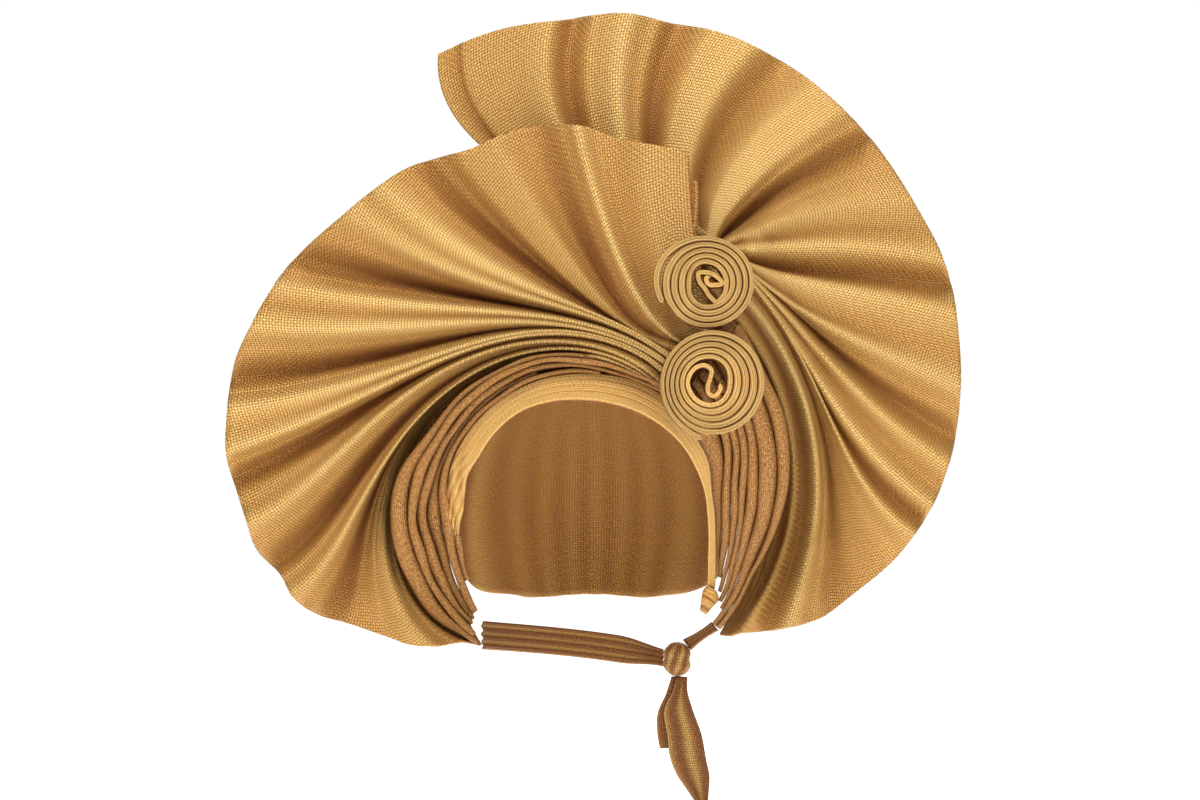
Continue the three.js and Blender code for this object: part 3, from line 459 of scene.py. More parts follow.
# %% [markdown]
# ## The fans
# Each fan is one wide cloth, pleated hard at the gather behind the rosettes and let go towards its rim. A
# fold line leaves the gather along the collar and bends outwards, which is a curve of two ends and one or
# two bend points in angle and radius. A fan is then a table with one row for each fold line. Between two
# lines the cloth swings from crest to valley, and the rows of the grid run from the gather to the rim.

# %% Fold lines
LEFT_RIM = (
    (66, 225), (74.8, 228.5), (82, 229), (85.5, 230), (90, 236), (97, 238), (102, 236.5), (107, 233),
    (112, 234.5), (117, 236.5), (122, 235.5), (127, 234), (142, 234), (150, 232), (155, 231), (160, 227),
    (165, 223), (170, 218.5), (175, 210), (180, 203.5), (185, 198), (190, 186), (195, 181), (200, 168.3),
    (203, 157), (210, 139), (215, 129.7), (220, 118), (225, 103.4), (228, 99.8), (231, 97),
)  # angle, radius of the rim
LEFT_RIM_DEPTH = (
    (66, -70), (82, -65), (97, -60), (117, -54), (130, -50), (147, -43), (155, -39), (165, -34),
    (175, -28), (188, -19), (195, -13), (203, -5), (210, 0), (220, 6), (231, 15),
)  # angle, depth of the rim

# One row for each fold line of the left fan: angle at the rim, bend (angle, radius), radius at the
# gather, height of the fold (1 crest, -1 valley) and painted light on the gold (1 painted highlight, 0
# painted shade)
LEFT_LINES = (
    (74.4, 68.6, 165, 140, -0.4, 0.4),
    (74.9, 70.5, 166, 133, 0.2, 0.62),
    (80, 77, 155, 129, 0.5, 0.62),
    (85.8, 84, 145.5, 125, -0.1, 0.45),
    (88.5, 85, 139, 123.5, 0.1, 0.5),
    (91.3, 86, 132, 122, 0.7, 0.95),
    (93.2, 87.5, 122, 121, 0.1, 0.35),
    (96.5, 90, 109, 119, -0.7, 0.12),
    (100, 92, 109, 117.5, -0.35, 0.38),
    (104, 95, 109, 116, 0.35, 0.66),
    (108.5, 100, 114.5, 115, 0.3, 0.55),
    (112, 104, 118, 114, -0.6, 0.25),
    (114.6, 106.5, 118, 113.5, -1.0, 0.05),
    (117.5, 110, 115, 113, 0.0, 0.4),
)
# The next lines turn late, each with two bends: angle at the rim, bends (angle, radius), radius at the
# gather, height and painted light (1 painted highlight, 0 painted shade). The last ones run beside the
# pleats and leave them one by one, and the very last goes behind.
LEFT_OUTER_LINES = (
    (121.5, 95, 124, 115, 138, 112, 0.9, 1.0),
    (124.3, 97, 124.5, 118, 138, 111.2, 0.65, 0.62),
    (127, 98, 124, 121, 137, 110.5, 0.85, 0.92),
    (132, 99.5, 123, 122, 135, 109.8, 0.1, 0.42),
    (138, 101, 122, 124, 132, 109, -1.0, 0.02),
    (140.5, 102, 121.5, 127, 131, 108.3, -0.1, 0.4),
    (143, 103, 121, 130, 130, 107.5, 0.85, 0.95),
    (146, 104, 119.5, 134, 129, 106.8, 0.6, 0.45),
    (149.5, 105, 118, 138, 128, 106, 0.95, 1.0),
    (153.5, 107.5, 121, 141.5, 123, 105.3, 0.2, 0.5),
    (158.2, 110, 123, 145, 118, 104.5, -1.0, 0.05),
    (160.4, 111, 124, 147.5, 114, 103.7, 0.0, 0.6),
    (162.6, 112, 124, 150, 110, 103, 0.8, 0.95),
    (166, 112, 123, 152, 110, 102.3, 0.65, 0.5),
    (169, 112, 122, 154, 110, 101.5, 0.9, 1.0),
    (171, 112, 121, 156, 110, 100.8, -0.1, 0.45),
    (173.2, 112, 120, 158, 110, 100, -1.0, 0.04),
    (177, 111, 118, 165, 114, 97.5, 0.1, 0.55),
    (180.5, 110, 116, 172, 118, 95.8, 0.95, 0.85),
    (184, 112, 117, 175, 112, 95, 0.2, 0.55),
    (188.3, 115, 117.5, 178, 106, 94.4, -1.0, 0.06),
    (191, 116, 117, 182, 103, 93.9, 0.1, 0.5),
    (194.5, 118, 116, 186, 103, 93.3, 0.95, 0.78),
    (197.5, 119, 114.5, 188, 108, 92.9, 0.2, 0.42),
    (201, 120, 113, 190, 114, 92.6, -1.0, 0.05),
    (205, 120.5, 111.5, 191, 119, 92.3, -0.4, 0.3),
    (212, 121, 110, 192, 126, 92.1, 0.3, 0.5),
    (219.5, 122, 108, 193, 131, 91.9, 1.0, 0.78),
    (223, 123.5, 105.5, 191.5, 130, 91.6, 0.3, 0.5),
    (227.5, 125, 103, 190, 128, 91.3, -0.8, 0.15),
    (230.5, 125, 100, 190, 71, 88, -0.9, 0.1),
)
RIGHT_RIM = (
    (-40.5, 106), (-39, 110.5), (-36, 115.5), (-30, 132), (-23, 152), (-15, 168), (-6, 190), (4, 212),
    (14, 230), (25, 248), (35, 264.5), (45, 275.5), (55, 288), (65, 298), (75, 303.5), (80, 302.5),
    (85, 305), (92, 300.5), (100, 298.5), (107.6, 293),
)
RIGHT_RIM_DEPTH = (
    (-41, 15), (-36, 8), (-30, 4), (-23, -3), (-15, -8), (-6, -13), (4, -18), (14, -22), (25, -24),
    (45, -27), (65, -27), (85, -25), (107.6, -23),
)
# One row for each fold line of the right fan: angle at the rim, bend (angle, radius), gather (angle,
# radius), height and painted light (1 painted highlight, 0 painted shade)
RIGHT_LINES = (
    (-40.4, 22, 84, 54, 96, -0.9, 0.1),
    (-39.2, 10, 111, 55, 146, -0.6, 0.2),
    (-36, 2, 116, 55.5, 154, 0.5, 0.6),
    (-32, -3.4, 119, 55.8, 160, -0.5, 0.25),
    (-28.3, -5, 127, 56, 165, 1.0, 1.0),
    (-24.5, -4, 130, 56.4, 168, 0.1, 0.5),
    (-20, -2, 134, 57, 171, -0.7, 0.2),
    (-12, 2, 132, 58, 174, -0.3, 0.4),
    (-6, 6, 133, 59, 176, 0.1, 0.55),
    (-2.5, 8.4, 132, 60, 178, 0.8, 0.85),
    (-0.5, 13.3, 131.5, 60.2, 178.5, -0.4, 0.08),
    (2.2, 17.7, 136.5, 60.5, 179, 0.8, 0.9),
    (5, 20.2, 148, 60.8, 179.5, 0.1, 0.45),
    (8.5, 24.3, 153, 61, 180, 0.75, 0.88),
    (12.5, 26, 163, 61.3, 180.5, -0.9, 0.04),
    (16, 31, 163, 61.6, 181, 0.0, 0.5),
    (19.5, 36.7, 163, 62, 181.5, 0.85, 0.95),
    (24, 38, 165.5, 62.3, 182, 0.35, 0.4),
    (29, 46.4, 175.5, 62.6, 182.3, 0.85, 0.95),
    (32.5, 48.5, 177.5, 63, 182.6, -0.9, 0.1),
    (36, 54.5, 191.5, 63.3, 183, 0.7, 0.95),
    (39.3, 55.9, 197.5, 63.6, 183.3, 0.35, 0.45),
    (44, 59.8, 197, 64, 183.6, 0.8, 0.8),
    (48.5, 62.3, 192, 64.3, 184, 0.1, 0.55),
    (53, 64.5, 187.5, 64.6, 184.3, -1.0, 0.06),
    (55.6, 66, 192, 65, 184.6, 0.2, 0.5),
    (58, 67.3, 198, 65.3, 185, 0.8, 0.92),
    (61, 70.5, 212, 66.3, 185, 0.8, 0.9),
    (66.5, 75.5, 211, 67.5, 185, -0.8, 0.3),
    (70.8, 78, 221, 70, 185, 0.8, 0.92),
    (75, 80.5, 223, 73, 184.5, 0.55, 0.8),
    (79.2, 83, 224, 75.5, 184, -1.0, 0.08),
    (82, 85.5, 230, 77.5, 183.7, 0.0, 0.5),
    (85.2, 88, 236, 79.5, 183.5, 0.85, 0.95),
    (88.6, 92, 236, 82, 183, 0.3, 0.6),
    (91, 95.4, 236, 84, 182, -0.9, 0.2),
    (94.2, 98.5, 237, 86, 181.5, 0.6, 0.78),
    (99, 103, 236, 88, 181, 0.2, 0.6),
    (103.8, 108, 234, 90, 180.5, 0.3, 0.6),
    (104.9, 109.5, 233.5, 90.5, 180.2, -0.1, 0.3),
    (107.5, 112.5, 233, 91, 180, 0.2, 0.66),
)


def bezier(ends, t):
    """A cubic through its first and last control values, bent by the two between them, at each share t."""
    a, b, c, d = (e[None, :] for e in ends)
    t = t[:, None]
    return a * (1 - t) ** 3 + 3 * b * t * (1 - t) ** 2 + 3 * c * t**2 * (1 - t) + d * t**3


def spread_lines(table, per_panel):
    """More lines between the table's own: every column is carried on smoothly from row to row, and the
    height (the last column but one) swings from crest to valley along half a cosine."""
    rows = np.array(table, float)
    knots = np.arange(len(rows), dtype=float)
    fine = np.linspace(0, len(rows) - 1, (len(rows) - 1) * per_panel + 1)
    numbered = np.column_stack([knots, rows])
    columns = [curve(numbered, k + 1, fine) for k in range(rows.shape[1])]
    low = np.minimum(fine.astype(int), len(rows) - 2)
    swing = (1 - np.cos(np.pi * (fine - low))) / 2
    for k in (-2, -1):
        columns[k] = mix(rows[low, k], rows[low + 1, k], swing)
    return columns


print("fold lines:", len(LEFT_LINES) + len(LEFT_OUTER_LINES), "left,", len(RIGHT_LINES), "right")


# %% Fan surfaces
FAN_ROWS = 90
FAN_WALL = 1.3
ROOT_SHARE = 0.3
LEAVE_RATE = 1.6
# The plain painted shading level that each line's painted highlight or shade is drawn towards at the rim
PLAIN_SHADING = 0.55
PLEAT_SIDE = 10


def fan_grid(t, angles, radii, height, painted_light, rim_depth, collar_radius, fold_height, lift):
    """The fan's points. Depth: the collar's depth near the gather goes over to the rim's depth on the way
    out, and each line stands in front or behind it by its height times fold_height, less at the gather. The
    way out is the share of the radius between collar and rim, and at most LEAVE_RATE times t, so that every
    line starts at the collar."""
    way = (radii - collar_radius) / (radii[-1][None, :] - collar_radius)
    way = np.minimum(np.clip(way, 0, 1), np.clip(LEAVE_RATE * t, 0, 1)[:, None])
    rest = mix(collar_depth(angles) + lift, rim_depth[None, :], way**0.75)
    grown = mix(ROOT_SHARE, 1, ease(way / 0.45))
    depth = rest - height[None, :] * fold_height * grown
    soft = ripple(angles * 3, 0.5, (7, 0.4), (11, 1.9))
    grid = place(angles, radii, depth + soft * ease(way * 3))
    # Painted shading: each line's painted highlight or painted shade, full out to three tenths of the way,
    # then drawn six tenths of the way to the plain level at the rim.
    painted_shading = mix(PLAIN_SHADING, painted_light[None, :], 1 - 0.6 * ease((way - 0.3) / 0.7))
    return grid, painted_shading


def left_fan():
    """Two tables make one cloth: the lines of the open fan have one bend, given as the two middle values of
    a cubic at two thirds of the way to it, and the outer lines have two bends of their own. The last line
    goes further back, beside the pleats."""
    inner = np.array(LEFT_LINES, float)
    root_angle = mix(57, 65, ease(np.arange(len(inner)) / 4))
    rim, bend_a, bend_r, root_r, height, painted_light = inner.T
    rim_r = curve(LEFT_RIM, 1, rim)
    one_bend = np.column_stack([
        rim, mix(root_angle, bend_a, 2 / 3), mix(root_r, bend_r, 2 / 3), mix(rim, bend_a, 2 / 3),
        mix(rim_r, bend_r, 2 / 3), root_r, height, painted_light,
    ])
    outer = np.array(LEFT_OUTER_LINES, float)
    table = np.vstack([one_bend, outer])
    rim, a1, r1, a2, r2, root_r, height, painted_light = spread_lines(table, 7)
    roots = curve(np.column_stack([table[:, 0], np.append(root_angle, np.full(len(outer), 65))]), 1, rim)
    t = np.linspace(-0.09, 1, FAN_ROWS)
    angles = bezier((roots, a1, a2, rim), t)
    radii = bezier((root_r, r1, r2, curve(LEFT_RIM, 1, rim)), t)
    rim_depth = curve(LEFT_RIM_DEPTH, 1, rim)
    beside = PLEAT_SIDE * ease((rim - 227.5) / 3)
    lift = 7 + beside[None, :]
    grid, painted_shading = fan_grid(t, angles, radii, height, painted_light, rim_depth, 98, 11, lift)
    piece = wall(surface("left_fan_cloth", grid, painted_shading, FAN_CLOTH), FAN_WALL)
    return dress(piece, ["left_fan"])


def right_fan():
    """As the left fan, with one bend in every line and a gather of its own behind the rosettes. Above 57.5
    degrees the gather is set back, to pass behind the left fan's end, and the first line goes back beside
    the pleats."""
    table = np.array(RIGHT_LINES, float)
    rim, bend_a, bend_r, root_a, root_r, height, painted_light = spread_lines(table, 8)
    rim_r = curve(RIGHT_RIM, 1, rim)
    t = np.linspace(-0.12, 1, FAN_ROWS)
    angles = bezier((root_a, mix(root_a, bend_a, 2 / 3), mix(rim, bend_a, 2 / 3), rim), t)
    radii = bezier((root_r, mix(root_r, bend_r, 2 / 3), mix(rim_r, bend_r, 2 / 3), rim_r), t)
    rim_depth = curve(RIGHT_RIM_DEPTH, 1, rim)
    behind = 28 * ease((angles - 57.5) / 4.5)
    beside = PLEAT_SIDE * ease((-39.2 - rim) / 1.2)
    lift = 8 + (behind + beside[None, :])
    grid, painted_shading = fan_grid(t, angles, radii, height, painted_light, rim_depth, 100, 10, lift)
    piece = wall(surface("right_fan_cloth", grid, painted_shading, FAN_CLOTH), FAN_WALL)
    return dress(piece, ["right_fan"])


left_fan()
right_fan()

# %% [markdown]
# ## The pleats
# Each pleat is a strip of cloth folded in two, with the fold to the front and the two plies going back
# side by side. Across, that is a half round with two straight legs. Along, it follows the collar between
# its two seams, which are a table of radii for each seam at a few angles, as shares of the opening's
# radius.

# %% Seams
LEFT_SEAMS = (
    (57, 1.17, 1.2, 1.22, 1.221, 1.255, 1.288, 1.289),
    (75, 1.17, 1.2, 1.216, 1.217, 1.25, 1.283, 1.284),
    (90, 1.17, 1.212, 1.246, 1.247, 1.281, 1.33, 1.36),
    (105, 1.17, 1.218, 1.256, 1.29, 1.335, 1.372, 1.408),
    (120, 1.17, 1.215, 1.253, 1.288, 1.342, 1.394, 1.433),
    (135, 1.17, 1.211, 1.249, 1.287, 1.349, 1.415, 1.46),
    (150, 1.17, 1.207, 1.248, 1.288, 1.347, 1.411, 1.473),
    (165, 1.16, 1.178, 1.24, 1.284, 1.368, 1.459, 1.578),
    (180, 1.045, 1.075, 1.178, 1.305, 1.384, 1.452, 1.599),
    (190, 1.024, 1.086, 1.163, 1.251, 1.34, 1.425, 1.579),
    (200, 1.052, 1.1, 1.166, 1.237, 1.336, 1.397, 1.538),
    (215, 1.085, 1.126, 1.192, 1.25, 1.297, 1.362, 1.464),
    (222, 1.12, 1.165, 1.211, 1.244, 1.28, 1.338, 1.4),
    (230, 1.24, 1.26, 1.27, 1.285, 1.295, 1.31, 1.352),
)
LEFT_PLEATS = (
    ("left_pleat_1", 1, 187, 207, 10),
    ("left_pleat_2", 2, 84, 220, 6),
    ("left_pleat_3", 3, 108, 221.5, 10),
    ("left_pleat_4", 4, 57, 222.5, 4),
    ("left_pleat_5", 5, 57, 226, 0),
    ("left_pleat_6", 6, 90, 229, 2),
)  # name, inner seam's column, first and last angle, set-back in mm
RIGHT_SEAMS = (
    (-40, 1.24, 1.26, 1.28, 1.3, 1.32, 1.34, 1.385, 1.43),
    (-28, 1.206, 1.215, 1.24, 1.274, 1.312, 1.347, 1.404, 1.44),
    (-18, 1.127, 1.162, 1.205, 1.245, 1.285, 1.341, 1.425, 1.459),
    (-8, 1.082, 1.127, 1.195, 1.245, 1.29, 1.358, 1.475, 1.526),
    (2, 1.066, 1.122, 1.2, 1.262, 1.312, 1.403, 1.544, 1.622),
    (12, 1.066, 1.149, 1.229, 1.29, 1.358, 1.459, 1.616, 1.718),
    (27, 1.127, 1.279, 1.352, 1.425, 1.493, 1.571, 1.729, 1.841),
    (38, 1.15, 1.342, 1.425, 1.507, 1.575, 1.658, 1.8, 1.904),
    (52, 1.24, 1.42, 1.51, 1.6, 1.69, 1.79, 1.93, 2.06),
)
RIGHT_PLEATS = (
    ("right_pleat_1", 1, -17, 52, 12),
    ("right_pleat_2", 2, -23, 52, 10),
    ("right_pleat_3", 3, -28, 52, 8),
    ("right_pleat_4", 4, -31, 52, 6),
    ("right_pleat_5", 5, -33, 52, 4),
    ("right_pleat_6", 6, -39, 52, 2),
    ("right_pleat_7", 7, -39, 52, 0),
)

# %% Pleat surfaces
PLEAT_STEPS = 150
PLEAT_BACK = 12.0
PLEAT_GAP = 0.25
PLEAT_WALL = 0.5
PROFILE_POINTS = 25
ROUND_SHARE = 0.66
ROUNDEST = 5
# Painted highlight level on a pleat's crest
CREST_HIGHLIGHT = 0.56


def folded_profile():
    """A folded strip seen end on, for q from -1 to 1: the middle two thirds go round the fold from one side
    to the other, and the ends go straight back. Gives the place across (-1 to 1), the share of the round (0
    at the crest, 1 where the legs begin) and the share of the leg (0 to 1), each as one row."""
    q = np.linspace(-1, 1, PROFILE_POINTS)[None, :]
    bend = np.clip(q / ROUND_SHARE, -1, 1) * np.pi / 2
    leg = np.clip((np.abs(q) - ROUND_SHARE) / (1 - ROUND_SHARE), 0, 1)
    return np.sin(bend), 1 - np.cos(bend), leg


def pleat(name, seams, column, start, end, set_back, wobble):
    """One pleat. Across: the middle of its two seams plus half its width times the profile. Depth: the
    collar's depth, plus the round, plus the legs. Each pleat's crest wanders a little in and out."""
    angle = np.linspace(start, end, PLEAT_STEPS)[:, None]
    inner = OPENING * curve(seams, column, angle)
    outer = OPENING * curve(seams, column + 1, angle)
    side, bend, leg = folded_profile()
    half = (outer - inner) / 2 - PLEAT_GAP
    wander = ripple(angle * 2, 0.35, (5, wobble), (9, 2 * wobble))
    front = collar_depth(angle) + set_back + ripple(angle, 0.8, (9, 3 * wobble), (17, wobble))
    round_depth = np.minimum(half * 1.35, ROUNDEST)
    depth = front + bend * round_depth + leg * (PLEAT_BACK - round_depth)
    grid = place(angle, (inner + outer) / 2 + side * half + wander, depth)
    # Painted shading: painted highlight on the crest, painted shade growing round the fold and down the
    # legs.
    painted_shading = np.clip(CREST_HIGHLIGHT - 0.45 * bend**2 - 0.4 * leg + 0 * angle, 0, 1)
    piece = wall(surface(name + "_cloth", grid, painted_shading, PLEAT_CLOTH), PLEAT_WALL)
    return dress(piece, [name])


for number, row in enumerate(LEFT_PLEATS):
    pleat(row[0], LEFT_SEAMS, *row[1:], number * 1.7)
for number, row in enumerate(RIGHT_PLEATS):
    pleat(row[0], RIGHT_SEAMS, *row[1:], number * 1.3 + 0.6)

# %% [markdown]
# ## The front band
# The band is laid in four flat tucks, stitched down over the opening, the lowest the widest. It is nearly
# smooth with three thin lines, so its profile is a row of low pillows with a sharp dip between them.

# %% Band
BAND_EDGES = (
    (-28, 1.145, 1.2), (-18, 1.07, 1.122), (-8, 1.032, 1.076), (2, 1.014, 1.06), (12, 1.015, 1.06),
    (27, 1.01, 1.12), (38, 1.008, 1.135), (50, 0.998, 1.19), (64, 0.985, 1.212), (90, 0.985, 1.204),
    (105, 1.01, 1.21), (120, 1.036, 1.207), (135, 1.03, 1.203), (150, 1.015, 1.195), (160, 1.033, 1.18),
    (168, 1.01, 1.16), (175, 1.004, 1.14), (181, 1.03, 1.12), (187, 1.05, 1.11),
)  # angle, lower edge, upper edge
TUCK_LINES = (0, 0.34, 0.56, 0.79, 1)
TUCK_POINTS = 16
BAND_SET_BACK = 6.4
BAND_SLOPE = 0.45
PILLOW_RISE = 0.9
EDGE_ROLL = 2.4


def front_band():
    """Across: v from the lower to the upper edge. Depth: the collar's depth and a set-back, a slope back
    outwards, less a low pillow between each two tuck lines. The lower edge rolls back, and the left end is
    crumpled."""
    angle = np.linspace(-28, 187, 300)[:, None]
    tucks = [np.linspace(a, b, TUCK_POINTS)[:-1] for a, b in zip(TUCK_LINES, TUCK_LINES[1:])]
    v = np.concatenate(tucks + [[1]])[None, :]
    lower = OPENING * curve(BAND_EDGES, 1, angle)
    upper = OPENING * curve(BAND_EDGES, 2, angle)
    tuck = np.clip(np.searchsorted(TUCK_LINES, v[0], side="right") - 1, 0, 3)
    start, stop = np.array(TUCK_LINES)[tuck], np.array(TUCK_LINES)[tuck + 1]
    within = (v - start) / (stop - start)
    pillow = 1 - np.abs(2 * within - 1) ** 7
    wide = upper - lower
    crumpled = ease((angle - 142) / 25)
    wander = (0.02 + 0.05 * crumpled) * (np.sin(angle * 0.23) + np.sin(angle * 0.37 + 1))
    creases = crumpled * (1.1 * np.sin(v * 9 + angle * 0.3) + 0.8 * np.sin(v * 17 - angle * 0.55))
    roll = EDGE_ROLL * np.clip(1 - v * 16, 0, 1) ** 2
    face = collar_depth(angle) + BAND_SET_BACK + BAND_SLOPE * wide * v - PILLOW_RISE * pillow
    depth = face + roll + creases + 5 * ease((angle - 179) / 8)
    grid = place(angle, mix(lower, upper, v + wander * v * (1 - v)), depth)
    # Painted shading: painted shadow along each tuck line and both edges of the band, painted shade along
    # the rolled lower edge and where the creases lie further back.
    line = np.exp(-((np.minimum(within, 1 - within) * (stop - start) * 16 / 0.42) ** 2))
    edge = np.clip(1 - v * 14, 0, 1)
    painted_shading = np.clip(0.74 - 0.62 * line - 0.5 * edge - 0.12 * creases + 0 * angle, 0, 1)
    piece = wall(surface("front_band_cloth", grid, painted_shading, BAND_CLOTH), 1.2)
    return dress(piece, ["front_band"])


front_band()

# %% [markdown]
# ## The rosettes
# A rosette is a doubled strip rolled up and sewn down on its side, so that its folded edge shows as a
# spiral. The path is a spiral that starts from a small hook in the middle. Across the path the strip is a
# tall narrow loop with a round front, and each turn stands a little higher or lower than the next.

# %% Rosette paths
# Each coil: turn in degrees from the right, counter-clockwise and outwards, and the radius of the strip's
# middle. Each hook: the inner end of the same strip, as points across and up from the middle. All in mm.
UPPER_HOOK = (
    (4.4, 3.4), (1.7, 2.6), (2.6, -0.5), (7.2, -1.3), (10.4, -0.5), (7.2, 3.6), (1.8, 5.8), (-2.7, 5.2),
    (-2.4, 1.5), (1.0, -3.4), (4.2, -8.2), (7.4, -10.6), (10.8, -7.6),
)
UPPER_COIL = (
    (0, 12.8), (90, 11.8), (180, 7.9), (270, 13.2), (360, 16.3), (450, 15), (540, 11.8), (630, 16.8),
    (720, 20.2), (810, 18.2), (900, 16), (990, 20.3), (1080, 23.7), (1170, 21.5), (1260, 20.6),
    (1350, 23.6), (1440, 27), (1530, 24.8), (1610, 26.6), (1650, 25.2),
)
LOWER_HOOK = (
    (3.9, 0.6), (3.7, -4.4), (0.6, -7.4), (-2.4, -6.0), (-3.0, -2.4), (-1.6, 2.4), (-1.0, 7.2),
    (-4.4, 9.7), (-9.4, 8.6), (-13.0, 4.4),
)
LOWER_COIL = (
    (180, 14.2), (270, 12.2), (360, 9.4), (450, 14.6), (540, 17.2), (630, 16), (720, 13.6), (810, 18),
    (900, 20.2), (990, 20), (1080, 18.2), (1170, 21.4), (1260, 22.8), (1350, 23.8), (1440, 22.8),
    (1530, 24.8), (1620, 25.5), (1710, 27.4), (1800, 27.2), (1890, 28), (1980, 28), (2040, 30),
    (2062, 32.4),
)
PLY_GAP = 0.22
LOOSE_PLY = 1.6
THINNEST_HALF = 0.8
WIDEST_HALF = 2.1


def coil_rows(coil):
    """Points along a coil every 8 degrees: across, up, and how far the strip reaches inwards and outwards.
    It fills half the way to the next turn on each side, less a thin gap, and never more than
    WIDEST_HALF."""
    turn = np.arange(coil[0][0], coil[-1][0] + 1, 8.0)
    radius = curve(coil, 1, turn)
    before, after = turn - 360, turn + 360
    inner = np.where(before >= coil[0][0], (radius - curve(coil, 1, before)) / 2, LOOSE_PLY)
    outer = np.where(after <= coil[-1][0], (curve(coil, 1, after) - radius) / 2, LOOSE_PLY)
    reach = [np.clip(way - PLY_GAP, THINNEST_HALF, WIDEST_HALF) for way in (inner, outer)]
    angle = np.radians(turn)
    return np.stack([radius * np.cos(angle), radius * np.sin(angle), *reach], -1)


def smooth_rows(rows, step):
    """The same rows set evenly along the path, a step (mm) apart, with smooth lines through all columns."""
    key = np.concatenate([[0], np.cumsum(np.linalg.norm(np.diff(rows[:, :2], axis=0), axis=1))])
    table = np.column_stack([key, rows])
    at = np.linspace(0, key[-1], int(key[-1] / step))
    return np.stack([curve(table, k + 1, at) for k in range(rows.shape[1])], -1)




# %% Rosette surfaces
STRIP_TALL = 17.0
SIDE_TALL = 9
CREST_RISE = 1.5
GROOVE_DEPTH = 0.55
FRONT_POINTS = 19
PATH_STEP = 0.7


def rosette(name, angle, reach, back, hook, coil, phase):
    """Seen end on, the strip is a tall loop: a flat back, two straight sides, and a round front with a
    groove down its middle where the doubled strip's two edges meet. Along the path its front stands a
    little up or down."""
    middle = place(np.array(angle), np.array(reach), np.array(back)) / MM
    loose = np.full((len(hook), 2), LOOSE_PLY - 0.25)
    rows = smooth_rows(np.vstack([np.column_stack([hook, loose]), coil_rows(coil)]), PATH_STEP)
    path, inner, outer = rows[:, :2], rows[:, 2:3], rows[:, 3:4]
    ahead = np.gradient(path, axis=0)
    ahead /= np.linalg.norm(ahead, axis=1)[:, None]
    q = np.linspace(-1, 1, FRONT_POINTS)
    bulge = CREST_RISE * np.sqrt(np.clip(1 - np.abs(q) ** 3, 0, 1))
    front = STRIP_TALL + bulge - GROOVE_DEPTH * np.exp(-((q / 0.13) ** 2))
    # Painted shading: painted highlight across the round front, painted shade in its groove and down the
    # sides and back.
    crest = 0.78 * np.clip(1 - np.abs(q) ** 4, 0, 1) - 0.35 * np.exp(-((q / 0.2) ** 2))
    crown = np.concatenate([crest, [0, 0, 0, 0]])
    q = np.concatenate([q, [1, 1, -1, -1]])
    tall = np.concatenate([front, [SIDE_TALL, 0, 0, SIDE_TALL]])[None, :]
    aside = mix(-inner, outer, (q[None, :] + 1) / 2)
    length = np.linspace(0, 1, len(path))[:, None]
    uneven = 0.7 * np.sin(length * 23 + phase) + 0.5 * np.sin(length * 61 + 2 * phase)
    end = ease(np.minimum(length, 1 - length) / 0.004)
    depth = tall + (uneven - 1.2 * (1 - length)) * (tall > 10)
    x = middle[0] + path[:, :1] + ahead[:, 1:] * aside * end
    z = middle[2] + path[:, 1:] - ahead[:, :1] * aside * end
    grid = np.stack([x, middle[1] - depth + 0 * x, z], -1) * MM
    painted_shading = np.clip(0.14 + crown[None, :] + 0 * x, 0, 1)
    piece = surface(name + "_cloth", grid, painted_shading, ROSETTE_CLOTH, closed=True)
    doubled(piece)
    return dress(piece, [name])


rosette("rosette_upper", 63.6, 158, -88, UPPER_HOOK, UPPER_COIL, 0.4)
rosette("rosette_lower", 47.2, 112, -91, LOWER_HOOK, LOWER_COIL, 2.1)

# %% [markdown]
# ## The cap
# The cap is the lining under it all: a dome, drawn forward to the back of the collar and down at the
# back. Its hem is given at each turn, and soft gathers run back from the collar.

# %% Cap
CAP_HEM = (
    (0, 125, 0, -32, 1.2, 12), (48, 124, 0, -32, 1.2, 12), (74, 116, 1, -22, 1.17, 12),
    (98, 90, 1, 2, 1.12, 12), (121, 58, 1, 32, 1.25, 12), (152, 37, 1, 62, 1.25, 10),
    (183, 31, 1, 90, 1.2, 7), (226, 47, 1, 120, 1.2, 6), (253, 75, 1, 150, 1.2, 7),
    (270, 98, 1, 180, 1.12, 10), (286, 116, 1, 203, 1.1, 12), (312, 124, 0, 215, 1.1, 6),
    (360, 125, 0, 215, 1.1, 6),
)  # turn, fall, joined, angle, reach, set-back
CAP_HALF = (73.8, 100.8, 96.8)
CAP_RISE = 0.8
CAP_BACK = 16.1
CAP_WALL = 1.4
GATHER_HEIGHT = 0.9
GATHERS = 22


